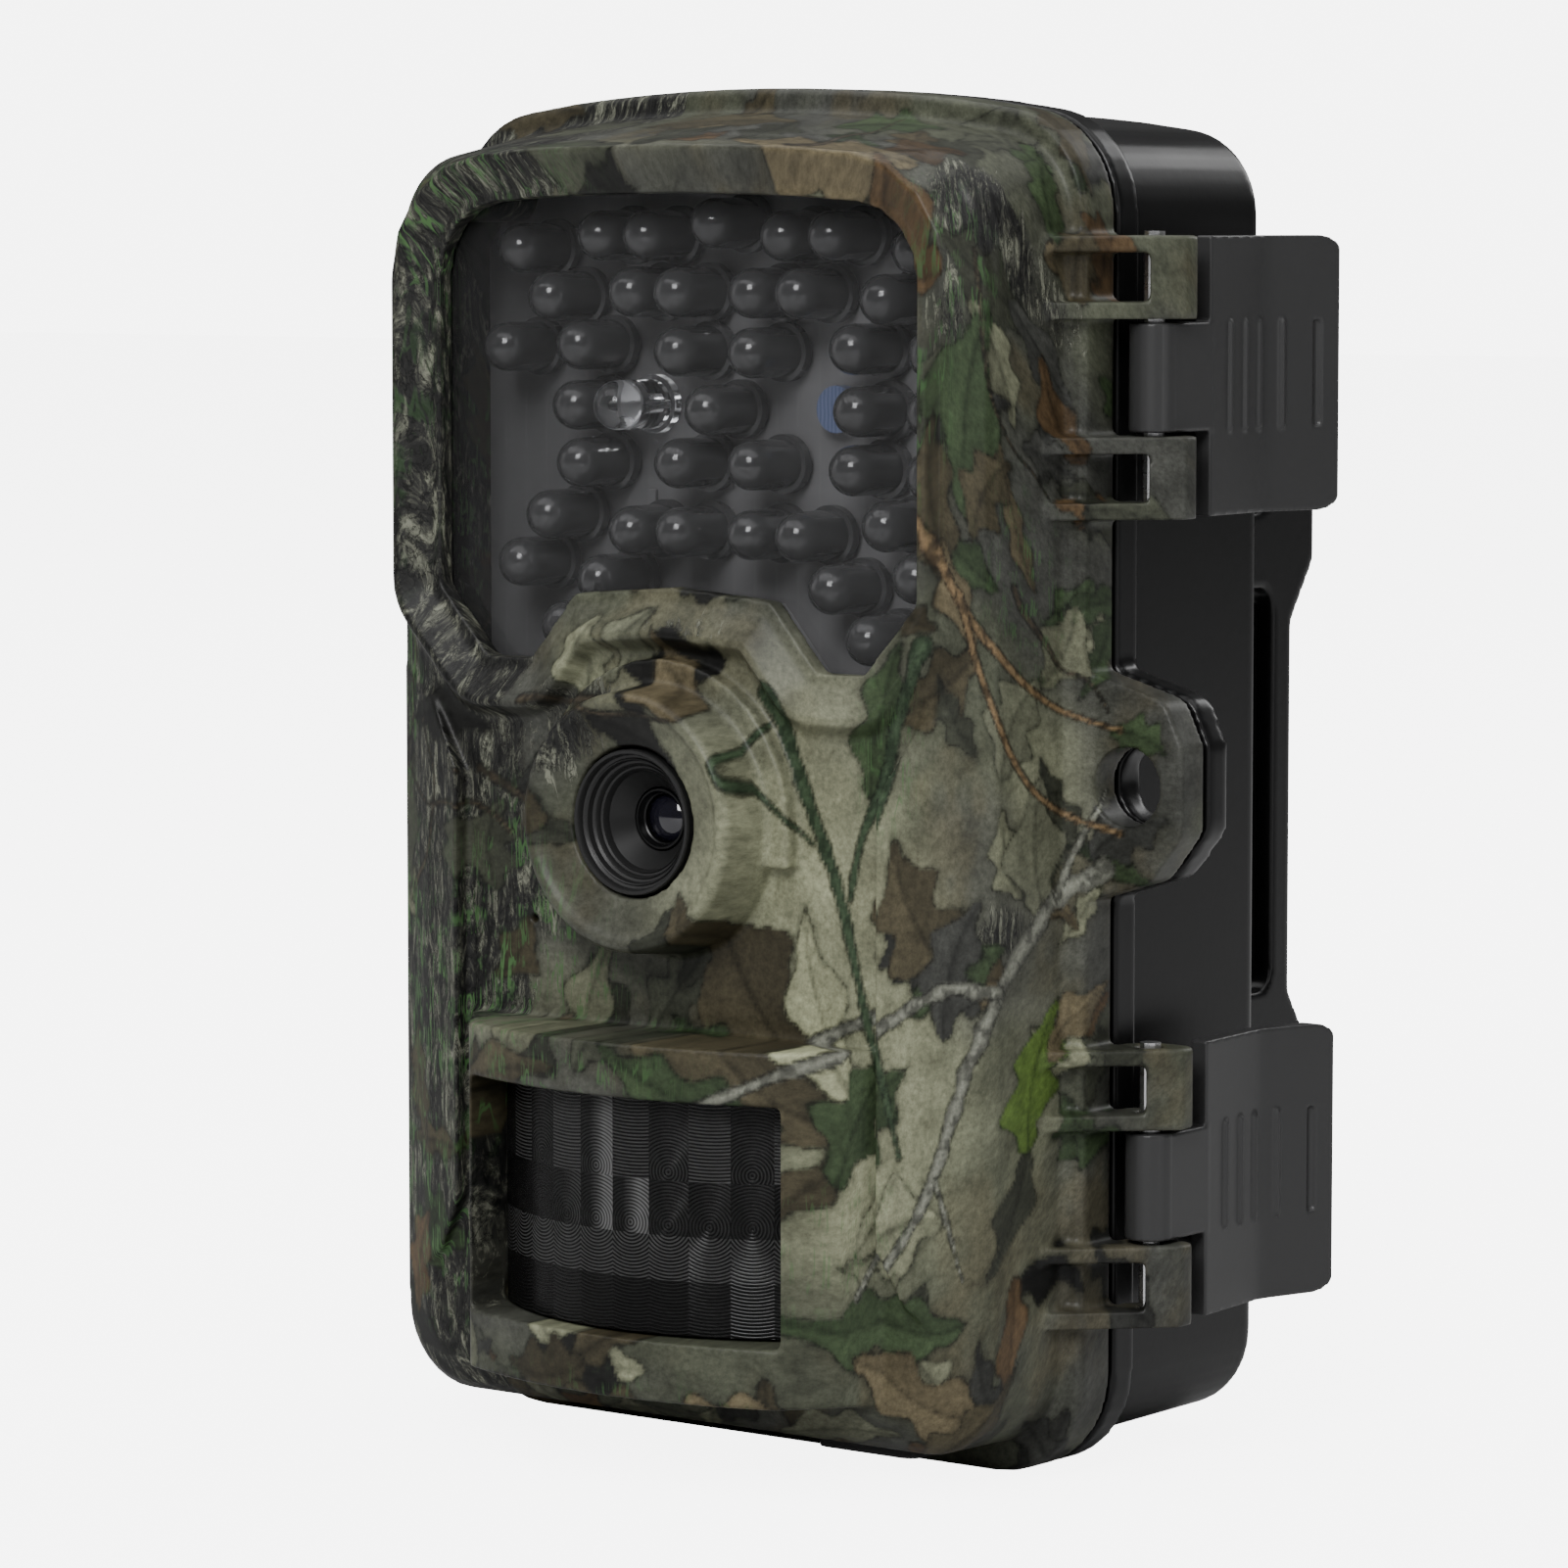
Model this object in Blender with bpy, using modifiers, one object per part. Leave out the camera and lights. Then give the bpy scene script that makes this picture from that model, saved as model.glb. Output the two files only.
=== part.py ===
"""Trail camera: a camouflaged front housing that carries the lens, the infrared window, the motion
sensor and the electronics, and a black rear cover that swings on two pinned hinges and is closed by
two over-centre latches.

Frame: +Z up, the lens looks along -Y, the latches are on the +X side. The origin is on the underside
of the front housing's flange. Lengths in the constants are millimetres; the mesh helpers turn them
into metres. Y values are counted from the seam between the two shells, which lies SEAM_Y behind the
origin, because every part hangs on an empty there.
"""

import math

import bmesh
import bpy
from mathutils import Matrix, Vector

MM = 0.001
SEAM_Y = 2.4

# Case: both shells follow one outline, taller at the middle of its arched top.
HALF_WIDTH = 38.3
HEIGHT = 132.4
TOP_ARC_RADIUS = 219.0
CORNER_RADIUS = 10.0
CORNER_STEPS = 8
TOP_ARC_STEPS = 12
GAP = 0.3

# Front housing.
FLANGE_DEPTH = 4.9
PANEL_Y = -19.0
FRONT_WALL_Y = -16.4
RIDGE_Y = -20.9
LIP_Y = -18.5
RIDGE_WIDTH = 4.6
STRIP_INNER_X = 25.6
LENS_Z = 62.5
HOOD_RADIUS = 12.4
HOOD_FRONT_Y = -26.6
LENS_BORE_RADIUS = 7.3
VISOR_FRONT_Y = -30.6
VISOR_EDGE_Y = -26.8
VISOR_HALF_WIDTH = 19.0
VISOR_LOW_Z, VISOR_HIGH_Z = 8.0, 42.0
SENSOR_LOW_Z, SENSOR_HIGH_Z = 13.8, 36.8
SENSOR_EDGE_Y, SENSOR_FRONT_Y = -21.4, -28.1
POSTS = ((-30.2, 9.0), (30.2, 9.0), (-29.8, 121.9), (29.8, 121.9))
MIC_X, MIC_Z = -17.2, 51.6

# Infrared window and the board behind it.
WINDOW = ((-29.0, 83.9, 2.0), (-22.9, 77.1, 1.2), (-17.5, 77.1, 1.2), (-11.9, 83.7, 1.5),
          (0.0, 84.6, 0.0), (11.9, 83.7, 1.5), (17.5, 77.1, 1.2), (22.9, 77.1, 1.2),
          (29.0, 83.9, 2.0), (29.0, 121.0, 7.5), (14.0, 122.0, 0.0), (0.0, 122.3, 0.0),
          (-14.0, 122.0, 0.0), (-29.0, 121.0, 7.5))
LED_BOARD_Y = -5.8
BOARD_THICKNESS = 1.4
LED_TIP_Y = -14.5
LED_RADIUS = 2.45
LED_PAIRS = ((24.1, 116.9), (14.1, 118.2), (8.4, 118.2), (20.3, 112.2), (10.2, 112.7), (4.6, 112.7),
             (16.7, 107.5), (4.5, 107.0), (17.2, 101.6), (16.7, 96.0), (4.5, 96.2), (20.6, 90.8),
             (10.2, 89.5), (4.4, 89.5), (24.2, 86.0), (14.2, 84.6), (18.7, 79.9), (26.0, 107.2))
LED_SINGLES = ((0.0, 119.4), (-0.8, 101.4), (25.8, 101.6), (25.8, 95.7))
CLEAR_LED = (-11.8, 101.7)
LIGHT_CELL = (11.2, 101.6)

# Rear cover.
COVER_FRONT_Y = 0.6
COVER_FLANGE_Y = 4.3
COVER_REAR_Y = 28.4
COVER_WALL = 2.0
FIN_X = 30.0
FIN_THICKNESS = 2.4
FIN_WIDE_Y, FIN_NARROW_Y = 46.0, 41.9
TRIPOD_Y = 14.0

# Latches: two identical levers, each between two brackets of the front housing.
LATCH_ZS = {"upper": 105.0, "lower": 28.4}
LATCH_AXIS = (42.3, 0.7)
LATCH_PIN_RADIUS = 1.0
PIN_BORE_RADIUS = 1.25
BRACKET_INNER, BRACKET_OUTER = 5.5, 13.3
BRACKET_ARM = 1.6
LEVER_HALF_HEIGHT = 13.3
LEVER_NECK_HALF_HEIGHT = 5.15
LEVER_RIDGES = (10.9, 13.9, 16.8, 19.9)
LEVER_GROOVE_Y = 24.2

# Hinges on the -X side.
HINGE_AXIS = (-42.2, 0.3)
HINGE_RADIUS = 2.6
HINGE_LOW_ZS = {"lower": 17.0, "upper": 93.0}
KNUCKLE = 6.0
KNUCKLE_MIDDLE = 10.0

# Padlock lug, shared by both shells.
LUG = ((36.0, 78.0, 0.0), (46.8, 74.9, 2.5), (48.8, 70.6, 2.5), (48.8, 62.4, 2.5),
       (45.2, 57.8, 2.5), (36.0, 55.0, 0.0))
LUG_HOLE = (42.5, 66.7, 3.8)

# Control panel inside, with the battery tray moulded on its back.
PANEL_FRONT, PANEL_BACK = 0.9, 2.7
TRAY_HALF_WIDTH = 30.7
TRAY_LOW_Z, TRAY_HIGH_Z = 13.0, 70.0
TRAY_DEPTH_Y = 20.0
TRAY_WALL = 1.2
CELL_RADIUS, CELL_LENGTH = 7.0, 48.8
CELL_PITCH = 14.8
CELL_Y = 11.8
SCREEN = (-31.0, 13.0, 89.0, 118.5)
CARD_BAY = (17.0, 31.5, 91.0, 119.0)
BUTTONS = {"button_up": (19.0, 85.1), "button_down": (19.0, 73.3), "button_left": (13.1, 79.2),
           "button_right": (24.9, 79.2), "button_ok": (19.0, 79.2), "button_menu": (0.5, 82.2),
           "button_shot": (0.5, 75.8)}
BUTTON_RADIUS = 2.3
SWITCH_SLOT = (-29.0, -17.0, 80.6, 83.8)
USB_CENTRE = (-23.0, 74.6)
JACK_X, JACK_Y = 20.0, -10.5


# --- Scene and materials ---------------------------------------------------------------------

def clear_scene():
    for obj in list(bpy.data.objects):
        bpy.data.objects.remove(obj, do_unlink=True)


def new_collection(name):
    collection = bpy.data.collections.new(name)
    bpy.context.scene.collection.children.link(collection)
    return collection


def new_material(name, colour, roughness, metallic=0.0):
    material = bpy.data.materials.new(name)
    material.use_nodes = True
    shader = material.node_tree.nodes["Principled BSDF"]
    shader.inputs["Base Color"].default_value = (*colour, 1.0)
    shader.inputs["Roughness"].default_value = roughness
    shader.inputs["Metallic"].default_value = metallic
    return material


clear_scene()
PARTS = new_collection("trail_camera")
TOOLS = new_collection("cutters")
FINISHES = {
    "camo": ((0.09, 0.10, 0.06), 0.5, 0.0),
    "black_plastic": ((0.012, 0.012, 0.013), 0.42, 0.0),
    "smoked": ((0.02, 0.02, 0.022), 0.08, 0.0),
    "clear": ((0.75, 0.78, 0.8), 0.05, 0.0),
    "rubber": ((0.02, 0.02, 0.02), 0.75, 0.0),
    "steel": ((0.62, 0.62, 0.63), 0.28, 1.0),
    "brass": ((0.72, 0.53, 0.22), 0.32, 1.0),
    "board": ((0.015, 0.017, 0.018), 0.45, 0.0),
    "grey_plastic": ((0.2, 0.2, 0.21), 0.5, 0.0),
    "screen": ((0.01, 0.012, 0.015), 0.12, 0.0),
    "cell": ((0.10, 0.25, 0.14), 0.35, 0.2),
    "light_cell": ((0.16, 0.22, 0.42), 0.4, 0.0),
}


def add_object(name, mesh, collection=None):
    obj = bpy.data.objects.new(name, mesh)
    (collection or PARTS).objects.link(obj)
    return obj


def add_empty(name, place, parent=None):
    empty = add_object(name, None)
    empty.location = Vector(place) * MM
    empty.parent = parent
    return empty


SEAM = add_empty("seam_frame", (0.0, SEAM_Y, 0.0))


def add_tool(obj):
    """A mesh that only cuts or joins another one."""
    for collection in list(obj.users_collection):
        collection.objects.unlink(obj)
    TOOLS.objects.link(obj)
    obj.hide_render = True
    obj.display_type = "WIRE"
    return obj


def finish_part(obj, finish, axis=None, smooth_angle=32.0):
    """Gives a part its material, its smoothing and, where it moves, an empty on its joint's axis."""
    if finish not in bpy.data.materials:
        new_material(finish, *FINISHES[finish])
    obj.data.materials.clear()
    obj.data.materials.append(bpy.data.materials[finish])
    obj.data.shade_smooth()
    obj.data.set_sharp_from_angle(angle=math.radians(smooth_angle))
    if axis is not None:
        obj.parent = axis
        obj.location = -axis.location
    return obj


# --- Outlines --------------------------------------------------------------------------------

def rounded(points, steps=4):
    """Corner points (u, v, radius), counter-clockwise, as a list of (u, v) with arcs at the corners."""
    outline = []
    count = len(points)
    for index, (u, v, radius) in enumerate(points):
        corner = Vector((u, v))
        if radius <= 0.0:
            outline.append((u, v))
            continue
        before = (Vector(points[index - 1][:2]) - corner).normalized()
        after = (Vector(points[(index + 1) % count][:2]) - corner).normalized()
        half = before.angle(after) / 2.0
        centre = corner + (before + after).normalized() * (radius / math.sin(half))
        first = corner + before * (radius / math.tan(half)) - centre
        last = corner + after * (radius / math.tan(half)) - centre
        for step in range(steps + 1):
            share = step / steps
            spoke = first.slerp(last, share)
            outline.append(tuple(centre + spoke.normalized() * radius))
    return outline


def grown(points, distance):
    """The same corner points with every edge moved outwards, the radii following."""
    result = []
    count = len(points)
    for index, (u, v, radius) in enumerate(points):
        corner = Vector((u, v))
        inward = (corner - Vector(points[index - 1][:2])).normalized()
        outward = (Vector(points[(index + 1) % count][:2]) - corner).normalized()
        normal_in = Vector((inward.y, -inward.x))
        normal_out = Vector((outward.y, -outward.x))
        bisector = (normal_in + normal_out).normalized()
        place = corner + bisector * (distance / bisector.dot(normal_in))
        turn = inward.x * outward.y - inward.y * outward.x
        swing = distance if turn > 0.0 else -distance
        new_radius = max(radius + swing, 0.4) if radius > 0.0 else 0.0
        result.append((place.x, place.y, new_radius))
    return result


def case_outline(side, bottom, top, radius):
    """The case's outline drawn in by the given amounts, as (x, z) points."""
    half = HALF_WIDTH - side
    high = HEIGHT - top

    def arch(x):
        return high - x * x / (2.0 * TOP_ARC_RADIUS)

    reach = half - radius
    corners = [(-half, bottom, radius), (half, bottom, radius), (half, arch(half), radius)]
    for step in range(1, TOP_ARC_STEPS):
        x = reach - 2.0 * reach * step / TOP_ARC_STEPS
        corners.append((x, arch(x), 0.0))
    corners.append((-half, arch(half), radius))
    return rounded(corners, CORNER_STEPS)


def circle(u, v, radius, steps=24):
    return [(u + radius * math.cos(2.0 * math.pi * step / steps),
             v + radius * math.sin(2.0 * math.pi * step / steps)) for step in range(steps)]


def rectangle(low_u, high_u, low_v, high_v, radius=0.0, steps=3):
    return rounded([(low_u, low_v, radius), (high_u, low_v, radius),
                    (high_u, high_v, radius), (low_u, high_v, radius)], steps)


def bulge(half_width, edge_y, front_y, steps):
    """Points of a shallow arc in plan, from -half_width to half_width, nearest the front at x = 0."""
    rise = edge_y - front_y
    radius = (half_width ** 2 + rise ** 2) / (2.0 * rise)
    sweep = math.asin(half_width / radius)
    return [(radius * math.sin(-sweep + 2.0 * sweep * step / steps),
             front_y + radius - radius * math.cos(-sweep + 2.0 * sweep * step / steps))
            for step in range(steps + 1)]


# --- Solids ----------------------------------------------------------------------------------

def clean_mesh(mesh, weld=1e-6):
    bm = bmesh.new()
    bm.from_mesh(mesh)
    bmesh.ops.remove_doubles(bm, verts=bm.verts, dist=weld)
    bmesh.ops.recalc_face_normals(bm, faces=bm.faces)
    bm.to_mesh(mesh)
    bm.free()


def evaluated_mesh(obj, name):
    depsgraph = bpy.context.evaluated_depsgraph_get()
    mesh = bpy.data.meshes.new_from_object(obj.evaluated_get(depsgraph))
    mesh.name = name
    bpy.data.objects.remove(obj, do_unlink=True)
    return mesh


PLANES = {
    "X": Matrix(((0, 0, 1, 0), (1, 0, 0, 0), (0, 1, 0, 0), (0, 0, 0, 1))),
    "Y": Matrix(((1, 0, 0, 0), (0, 0, 1, 0), (0, 1, 0, 0), (0, 0, 0, 1))),
    "Z": Matrix.Identity(4),
}


def extruded(name, outlines, low, high, axis):
    """A 2D curve with thickness along an axis. Outlines inside the first one are holes in it."""
    curve = bpy.data.curves.new(name, "CURVE")
    curve.dimensions = "2D"
    curve.fill_mode = "BOTH"
    curve.extrude = (high - low) / 2.0 * MM
    for outline in outlines:
        spline = curve.splines.new("POLY")
        spline.points.add(len(outline) - 1)
        for point, (u, v) in zip(spline.points, outline):
            point.co = (u * MM, v * MM, 0.0, 1.0)
        spline.use_cyclic_u = True
    mesh = evaluated_mesh(add_object(name + "_curve", curve), name)
    middle = Matrix.Translation((0.0, 0.0, (low + high) / 2.0 * MM))
    mesh.transform(PLANES[axis] @ middle)
    clean_mesh(mesh)
    obj = add_object(name, mesh)
    obj.parent = SEAM
    return obj


def lofted(name, rings):
    """A closed solid through rings of equal point counts, given as (x, y, z) points."""
    bm = bmesh.new()
    loops = [[bm.verts.new(Vector(point) * MM) for point in ring] for ring in rings]
    for lower, upper in zip(loops, loops[1:]):
        for index in range(len(lower)):
            after = (index + 1) % len(lower)
            bm.faces.new((lower[index], lower[after], upper[after], upper[index]))
    bm.faces.new(loops[0])
    bm.faces.new(loops[-1])
    bmesh.ops.recalc_face_normals(bm, faces=bm.faces)
    mesh = bpy.data.meshes.new(name)
    bm.to_mesh(mesh)
    bm.free()
    obj = add_object(name, mesh)
    obj.parent = SEAM
    return obj


def case_loft(name, layers):
    """A loft of case outlines: each layer is (y, side, bottom, top, radius)."""
    return lofted(name, [[(x, y, z) for x, z in case_outline(*insets)] for y, *insets in layers])


def box(name, low, high):
    bm = bmesh.new()
    bmesh.ops.create_cube(bm, size=1.0)
    low, high = Vector(low) * MM, Vector(high) * MM
    size = high - low
    bmesh.ops.scale(bm, vec=size, verts=bm.verts)
    bmesh.ops.translate(bm, vec=(low + high) / 2.0, verts=bm.verts)
    mesh = bpy.data.meshes.new(name)
    bm.to_mesh(mesh)
    bm.free()
    obj = add_object(name, mesh)
    obj.parent = SEAM
    return obj


TURNS = {
    "X": Matrix.Rotation(math.radians(90.0), 4, "Y"),
    "Y": Matrix.Rotation(math.radians(-90.0), 4, "X"),
    "Z": Matrix.Identity(4),
}


def cylinder(name, start, length, radius, axis, steps=24, end_radius=None):
    bm = bmesh.new()
    bmesh.ops.create_cone(bm, cap_ends=True, segments=steps, radius1=radius * MM,
                          radius2=(radius if end_radius is None else end_radius) * MM,
                          depth=length * MM)
    bmesh.ops.translate(bm, vec=(0.0, 0.0, length * MM / 2.0), verts=bm.verts)
    bmesh.ops.transform(bm, matrix=TURNS[axis], verts=bm.verts)
    bmesh.ops.translate(bm, vec=Vector(start) * MM, verts=bm.verts)
    mesh = bpy.data.meshes.new(name)
    bm.to_mesh(mesh)
    bm.free()
    obj = add_object(name, mesh)
    obj.parent = SEAM
    return obj


def turned(name, profile, centre, steps=32, closed=True):
    """A profile of (radius, y) points swept about an axis along Y through centre, given as (x, z)."""
    mesh = bpy.data.meshes.new(name)
    points = [(radius * MM, 0.0, y * MM) for radius, y in profile]
    edges = [(index, index + 1) for index in range(len(points) - 1)]
    if closed:
        edges.append((len(points) - 1, 0))
    mesh.from_pydata(points, edges, [])
    sweep = add_object(name + "_profile", mesh)
    screw = sweep.modifiers.new("Turn", "SCREW")
    screw.steps = screw.render_steps = steps
    screw.use_merge_vertices = True
    screw.merge_threshold = 0.00001
    solid = evaluated_mesh(sweep, name)
    solid.transform(Matrix.Translation((centre[0] * MM, 0.0, centre[1] * MM)) @ TURNS["Y"])
    clean_mesh(solid)
    obj = add_object(name, solid)
    obj.parent = SEAM
    return obj


def combine(target, operation, *others):
    for other in others:
        add_tool(other)
        modifier = target.modifiers.new(other.name, "BOOLEAN")
        modifier.operation = operation
        modifier.solver = "EXACT"
        modifier.object = other
    return target


def join(target, *others):
    return combine(target, "UNION", *others)


def cut(target, *others):
    return combine(target, "DIFFERENCE", *others)


def trim(target, other):
    return combine(target, "INTERSECT", other)


# --- Front housing ---------------------------------------------------------------------------

def shield():
    """The raised frame around the infrared window: steep outside, dished inside."""
    ridge = rounded(grown(WINDOW, RIDGE_WIDTH))
    foot = rounded(grown(WINDOW, RIDGE_WIDTH + 2.6))
    case_side, case_top = HALF_WIDTH - 2.4, HEIGHT - 4.6
    held = [(max(-case_side, min(case_side, x)), min(z, case_top - x * x / (2.0 * TOP_ARC_RADIUS)))
            for x, z in foot]
    frame = lofted("shield", [[(x, -15.5, z) for x, z in held], [(x, -17.0, z) for x, z in held],
                              [(x, RIDGE_Y, z) for x, z in ridge]])
    slope = (RIDGE_WIDTH - 0.4) / (LIP_Y - RIDGE_Y)
    over = 1.0
    front = rounded(grown(WINDOW, RIDGE_WIDTH - 0.4 + slope * over))
    lip = rounded(WINDOW)
    dish = lofted("shield_dish", [[(x, RIDGE_Y - over, z) for x, z in front],
                                  [(x, LIP_Y, z) for x, z in lip]])
    return cut(frame, dish)


def side_strip(side):
    """A low raised strip beside the lens, two facets wide, with slanting ends."""
    section = [(side * x, y) for x, y in ((STRIP_INNER_X, -17.5), (STRIP_INNER_X, RIDGE_Y),
                                          (30.7, -19.2), (35.2, -17.1), (35.7, -16.5), (35.7, -15.2))]
    name = "strip_right" if side > 0 else "strip_left"
    strip = extruded(name, [section], 10.0, 80.0, "Z")
    ends = [(side * x, z) for x, z in ((25.0, 24.5), (28.5, 17.8), (37.0, 11.5), (37.0, 76.5),
                                       (29.5, 72.5), (25.0, 64.5))]
    return trim(strip, extruded(name + "_ends", [ends], -23.0, -14.0, "Y"))


def lens_hood():
    return turned("hood", [(0.0, PANEL_Y + 1.0), (HOOD_RADIUS + 0.9, PANEL_Y + 1.0),
                           (HOOD_RADIUS + 0.1, HOOD_FRONT_Y + 0.5), (HOOD_RADIUS - 0.4, HOOD_FRONT_Y),
                           (HOOD_RADIUS - 1.0, HOOD_FRONT_Y), (HOOD_RADIUS - 1.6, HOOD_FRONT_Y + 0.5),
                           (LENS_BORE_RADIUS + 0.4, HOOD_FRONT_Y + 1.5),
                           (0.0, HOOD_FRONT_Y + 1.5)], (0.0, LENS_Z), 47, closed=False)


def lens_arch():
    """A raised band over the top of the hood, like an eyebrow; the hood fills its inside."""
    outer, legs = 15.4, 58.6
    band = [(outer * math.cos(math.pi * step / 16.0), LENS_Z + outer * math.sin(math.pi * step / 16.0))
            for step in range(17)]
    band += [(-outer, legs), (outer, legs)]
    return extruded("lens_arch", [band], PANEL_Y - 1.9, PANEL_Y + 0.8, "Y")


def visor():
    """The bulged box around the motion sensor's lens."""
    plan = [(-STRIP_INNER_X, PANEL_Y + 0.6)]
    plan += bulge(VISOR_HALF_WIDTH, VISOR_EDGE_Y, VISOR_FRONT_Y, 18)
    plan.append((STRIP_INNER_X, PANEL_Y + 0.6))
    block = extruded("visor", [plan], VISOR_LOW_Z, VISOR_HIGH_Z, "Z")
    bevel = block.modifiers.new("Rounded lips", "BEVEL")
    bevel.width = 1.2 * MM
    bevel.segments = 2
    bevel.limit_method = "ANGLE"
    bevel.angle_limit = math.radians(60.0)
    return block


def bracket(name, centre_z, side):
    """One latch bracket: two thin arms to the housing, joined by a block outside the pin."""
    low, high = sorted((centre_z + side * BRACKET_INNER, centre_z + side * BRACKET_OUTER))
    wedge = rounded([(35.4, -9.9, 0.0), (46.0, 0.7, 0.5), (46.0, 2.4, 0.5), (45.2, 3.6, 0.8),
                     (41.0, 3.6, 1.0), (38.9, 1.2, 0.0), (38.9, -0.5, 0.0), (35.4, -0.5, 0.0)], 3)
    solid = extruded(name, [wedge], low, high, "Z")
    between = [(30.0, -12.0), (43.5, -12.0), (43.5, -1.5), (42.7, -0.6), (42.7, 5.0), (30.0, 5.0)]
    return cut(solid, extruded(name + "_window", [between], low + BRACKET_ARM, high - BRACKET_ARM, "Z"))


def hinge_knuckle(name, low, high, front):
    """A knuckle on a web: the front housing's webs lie ahead of the seam, the cover's behind it."""
    x, y = HINGE_AXIS
    knuckle = cylinder(name, (x, y, low), high - low, HINGE_RADIUS, "Z", 20)
    web_y = (-3.6, -0.4) if front else (1.0, 3.9)
    web = box(name + "_web", (x + 0.4, web_y[0], low), (-HALF_WIDTH + 1.0, web_y[1], high))
    return join(knuckle, web)


def housing_cuts():
    """Everything that is hollow in the front housing."""
    cavity = case_loft("front_cavity", [(1.0, 4.1, 5.2, 5.2, 6.5), (-12.0, 4.1, 5.2, 5.4, 6.5),
                                        (FRONT_WALL_Y, 4.4, 5.4, 6.6, 6.5)])
    window = extruded("window_opening", [rounded(WINDOW)], LIP_Y - 3.0, FRONT_WALL_Y + 1.0, "Y")
    rabbet = extruded("window_rabbet", [rounded(grown(WINDOW, 1.3))], -17.0, FRONT_WALL_Y + 1.0, "Y")
    bore = cylinder("lens_bore", (0.0, HOOD_FRONT_Y - 1.0, LENS_Z), 14.0, LENS_BORE_RADIUS, "Y", 46)
    sensor = box("sensor_opening", (-VISOR_HALF_WIDTH, -33.0, SENSOR_LOW_Z),
                 (VISOR_HALF_WIDTH, FRONT_WALL_Y + 1.0, SENSOR_HIGH_Z))
    mic = cylinder("mic_hole", (MIC_X, -22.0, MIC_Z), 8.0, 0.5, "Y", 10)
    jack = cylinder("jack_hole", (JACK_X, JACK_Y, -1.0), 8.0, 2.9, "Z", 20)
    return cavity, window, rabbet, bore, sensor, mic, jack


def front_housing():
    body = case_loft("front_housing", [
        (0.0, 0.0, 0.0, 0.0, CORNER_RADIUS),
        (0.5 - FLANGE_DEPTH, 0.0, 0.0, 0.0, CORNER_RADIUS),
        (-FLANGE_DEPTH, 0.4, 0.4, 0.4, CORNER_RADIUS - 0.4),
        (-FLANGE_DEPTH - 0.3, 1.7, 2.9, 2.3, CORNER_RADIUS - 1.5),
        (-FLANGE_DEPTH - 0.9, 1.9, 3.1, 2.5, CORNER_RADIUS - 1.7),
        (-15.8, 2.1, 3.3, 4.3, CORNER_RADIUS - 1.9),
        (-17.2, 3.4, 4.3, 5.0, CORNER_RADIUS - 2.8),
        (-18.6, 6.6, 6.8, 6.5, CORNER_RADIUS - 4.5),
        (PANEL_Y, 8.2, 8.4, 7.8, CORNER_RADIUS - 5.5)])
    join(body, shield(), side_strip(1), side_strip(-1), lens_arch(), lens_hood(), visor())
    cut(body, *housing_cuts())
    for index, (x, z) in enumerate(POSTS):
        join(body, cylinder(f"post_{index}", (x, FRONT_WALL_Y - 0.5, z), 0.6 - FRONT_WALL_Y + 0.5,
                            2.5, "Y", 16))
        cut(body, cylinder(f"post_hole_{index}", (x, -8.0, z), 10.0, 1.1, "Y", 12))
    lug = extruded("lug_front", [rounded(LUG), circle(*LUG_HOLE)], -4.0, -0.1, "Y")
    bevel = lug.modifiers.new("Soft edge", "BEVEL")
    bevel.width = 0.7 * MM
    bevel.segments = 2
    bevel.limit_method = "ANGLE"
    bevel.angle_limit = math.radians(60.0)
    join(body, lug)
    for level, z in LATCH_ZS.items():
        join(body, bracket(f"bracket_{level}_top", z, 1), bracket(f"bracket_{level}_bottom", z, -1))
        cut(body, cylinder(f"latch_bore_{level}", (*LATCH_AXIS, z - 15.0), 30.0, PIN_BORE_RADIUS,
                           "Z", 12))
    for level, z in HINGE_LOW_ZS.items():
        top = z + 2.0 * KNUCKLE + KNUCKLE_MIDDLE + 2.0 * GAP
        join(body, hinge_knuckle(f"knuckle_{level}_low", z, z + KNUCKLE, True),
             hinge_knuckle(f"knuckle_{level}_high", top - KNUCKLE, top, True))
        cut(body, cylinder(f"hinge_bore_front_{level}", (*HINGE_AXIS, z - 1.0), top - z + 2.0,
                           PIN_BORE_RADIUS, "Z", 12))
    return finish_part(body, "camo")


# --- Optics and sensors ----------------------------------------------------------------------

def infrared_window():
    pane = extruded("infrared_window", [rounded(grown(WINDOW, 1.0))], -16.7, -15.4, "Y")
    return finish_part(pane, "smoked")


def dome_led(name, x, z, steps=10):
    """A 5 mm light-emitting diode pointing forwards, its foot inside the board."""
    radius = LED_RADIUS
    shoulder = LED_TIP_Y + radius
    profile = [(0.0, LED_BOARD_Y + 0.6), (radius, LED_BOARD_Y + 0.6), (radius, shoulder)]
    for step in (1, 2):
        angle = math.radians(30.0 * step)
        profile.append((radius * math.cos(angle), shoulder - radius * math.sin(angle)))
    profile.append((0.0, LED_TIP_Y))
    return turned(name, profile, (x, z), steps, closed=False)


def led_board():
    board = extruded("led_board", [rounded(WINDOW, 3)], LED_BOARD_Y,
                     LED_BOARD_Y + BOARD_THICKNESS, "Y")
    spots = [(x, z) for x, z in LED_PAIRS] + [(-x, z) for x, z in LED_PAIRS] + list(LED_SINGLES)
    for index, (x, z) in enumerate(spots):
        join(board, dome_led(f"diode_{index}", x, z))
    return finish_part(board, "board")


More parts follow.
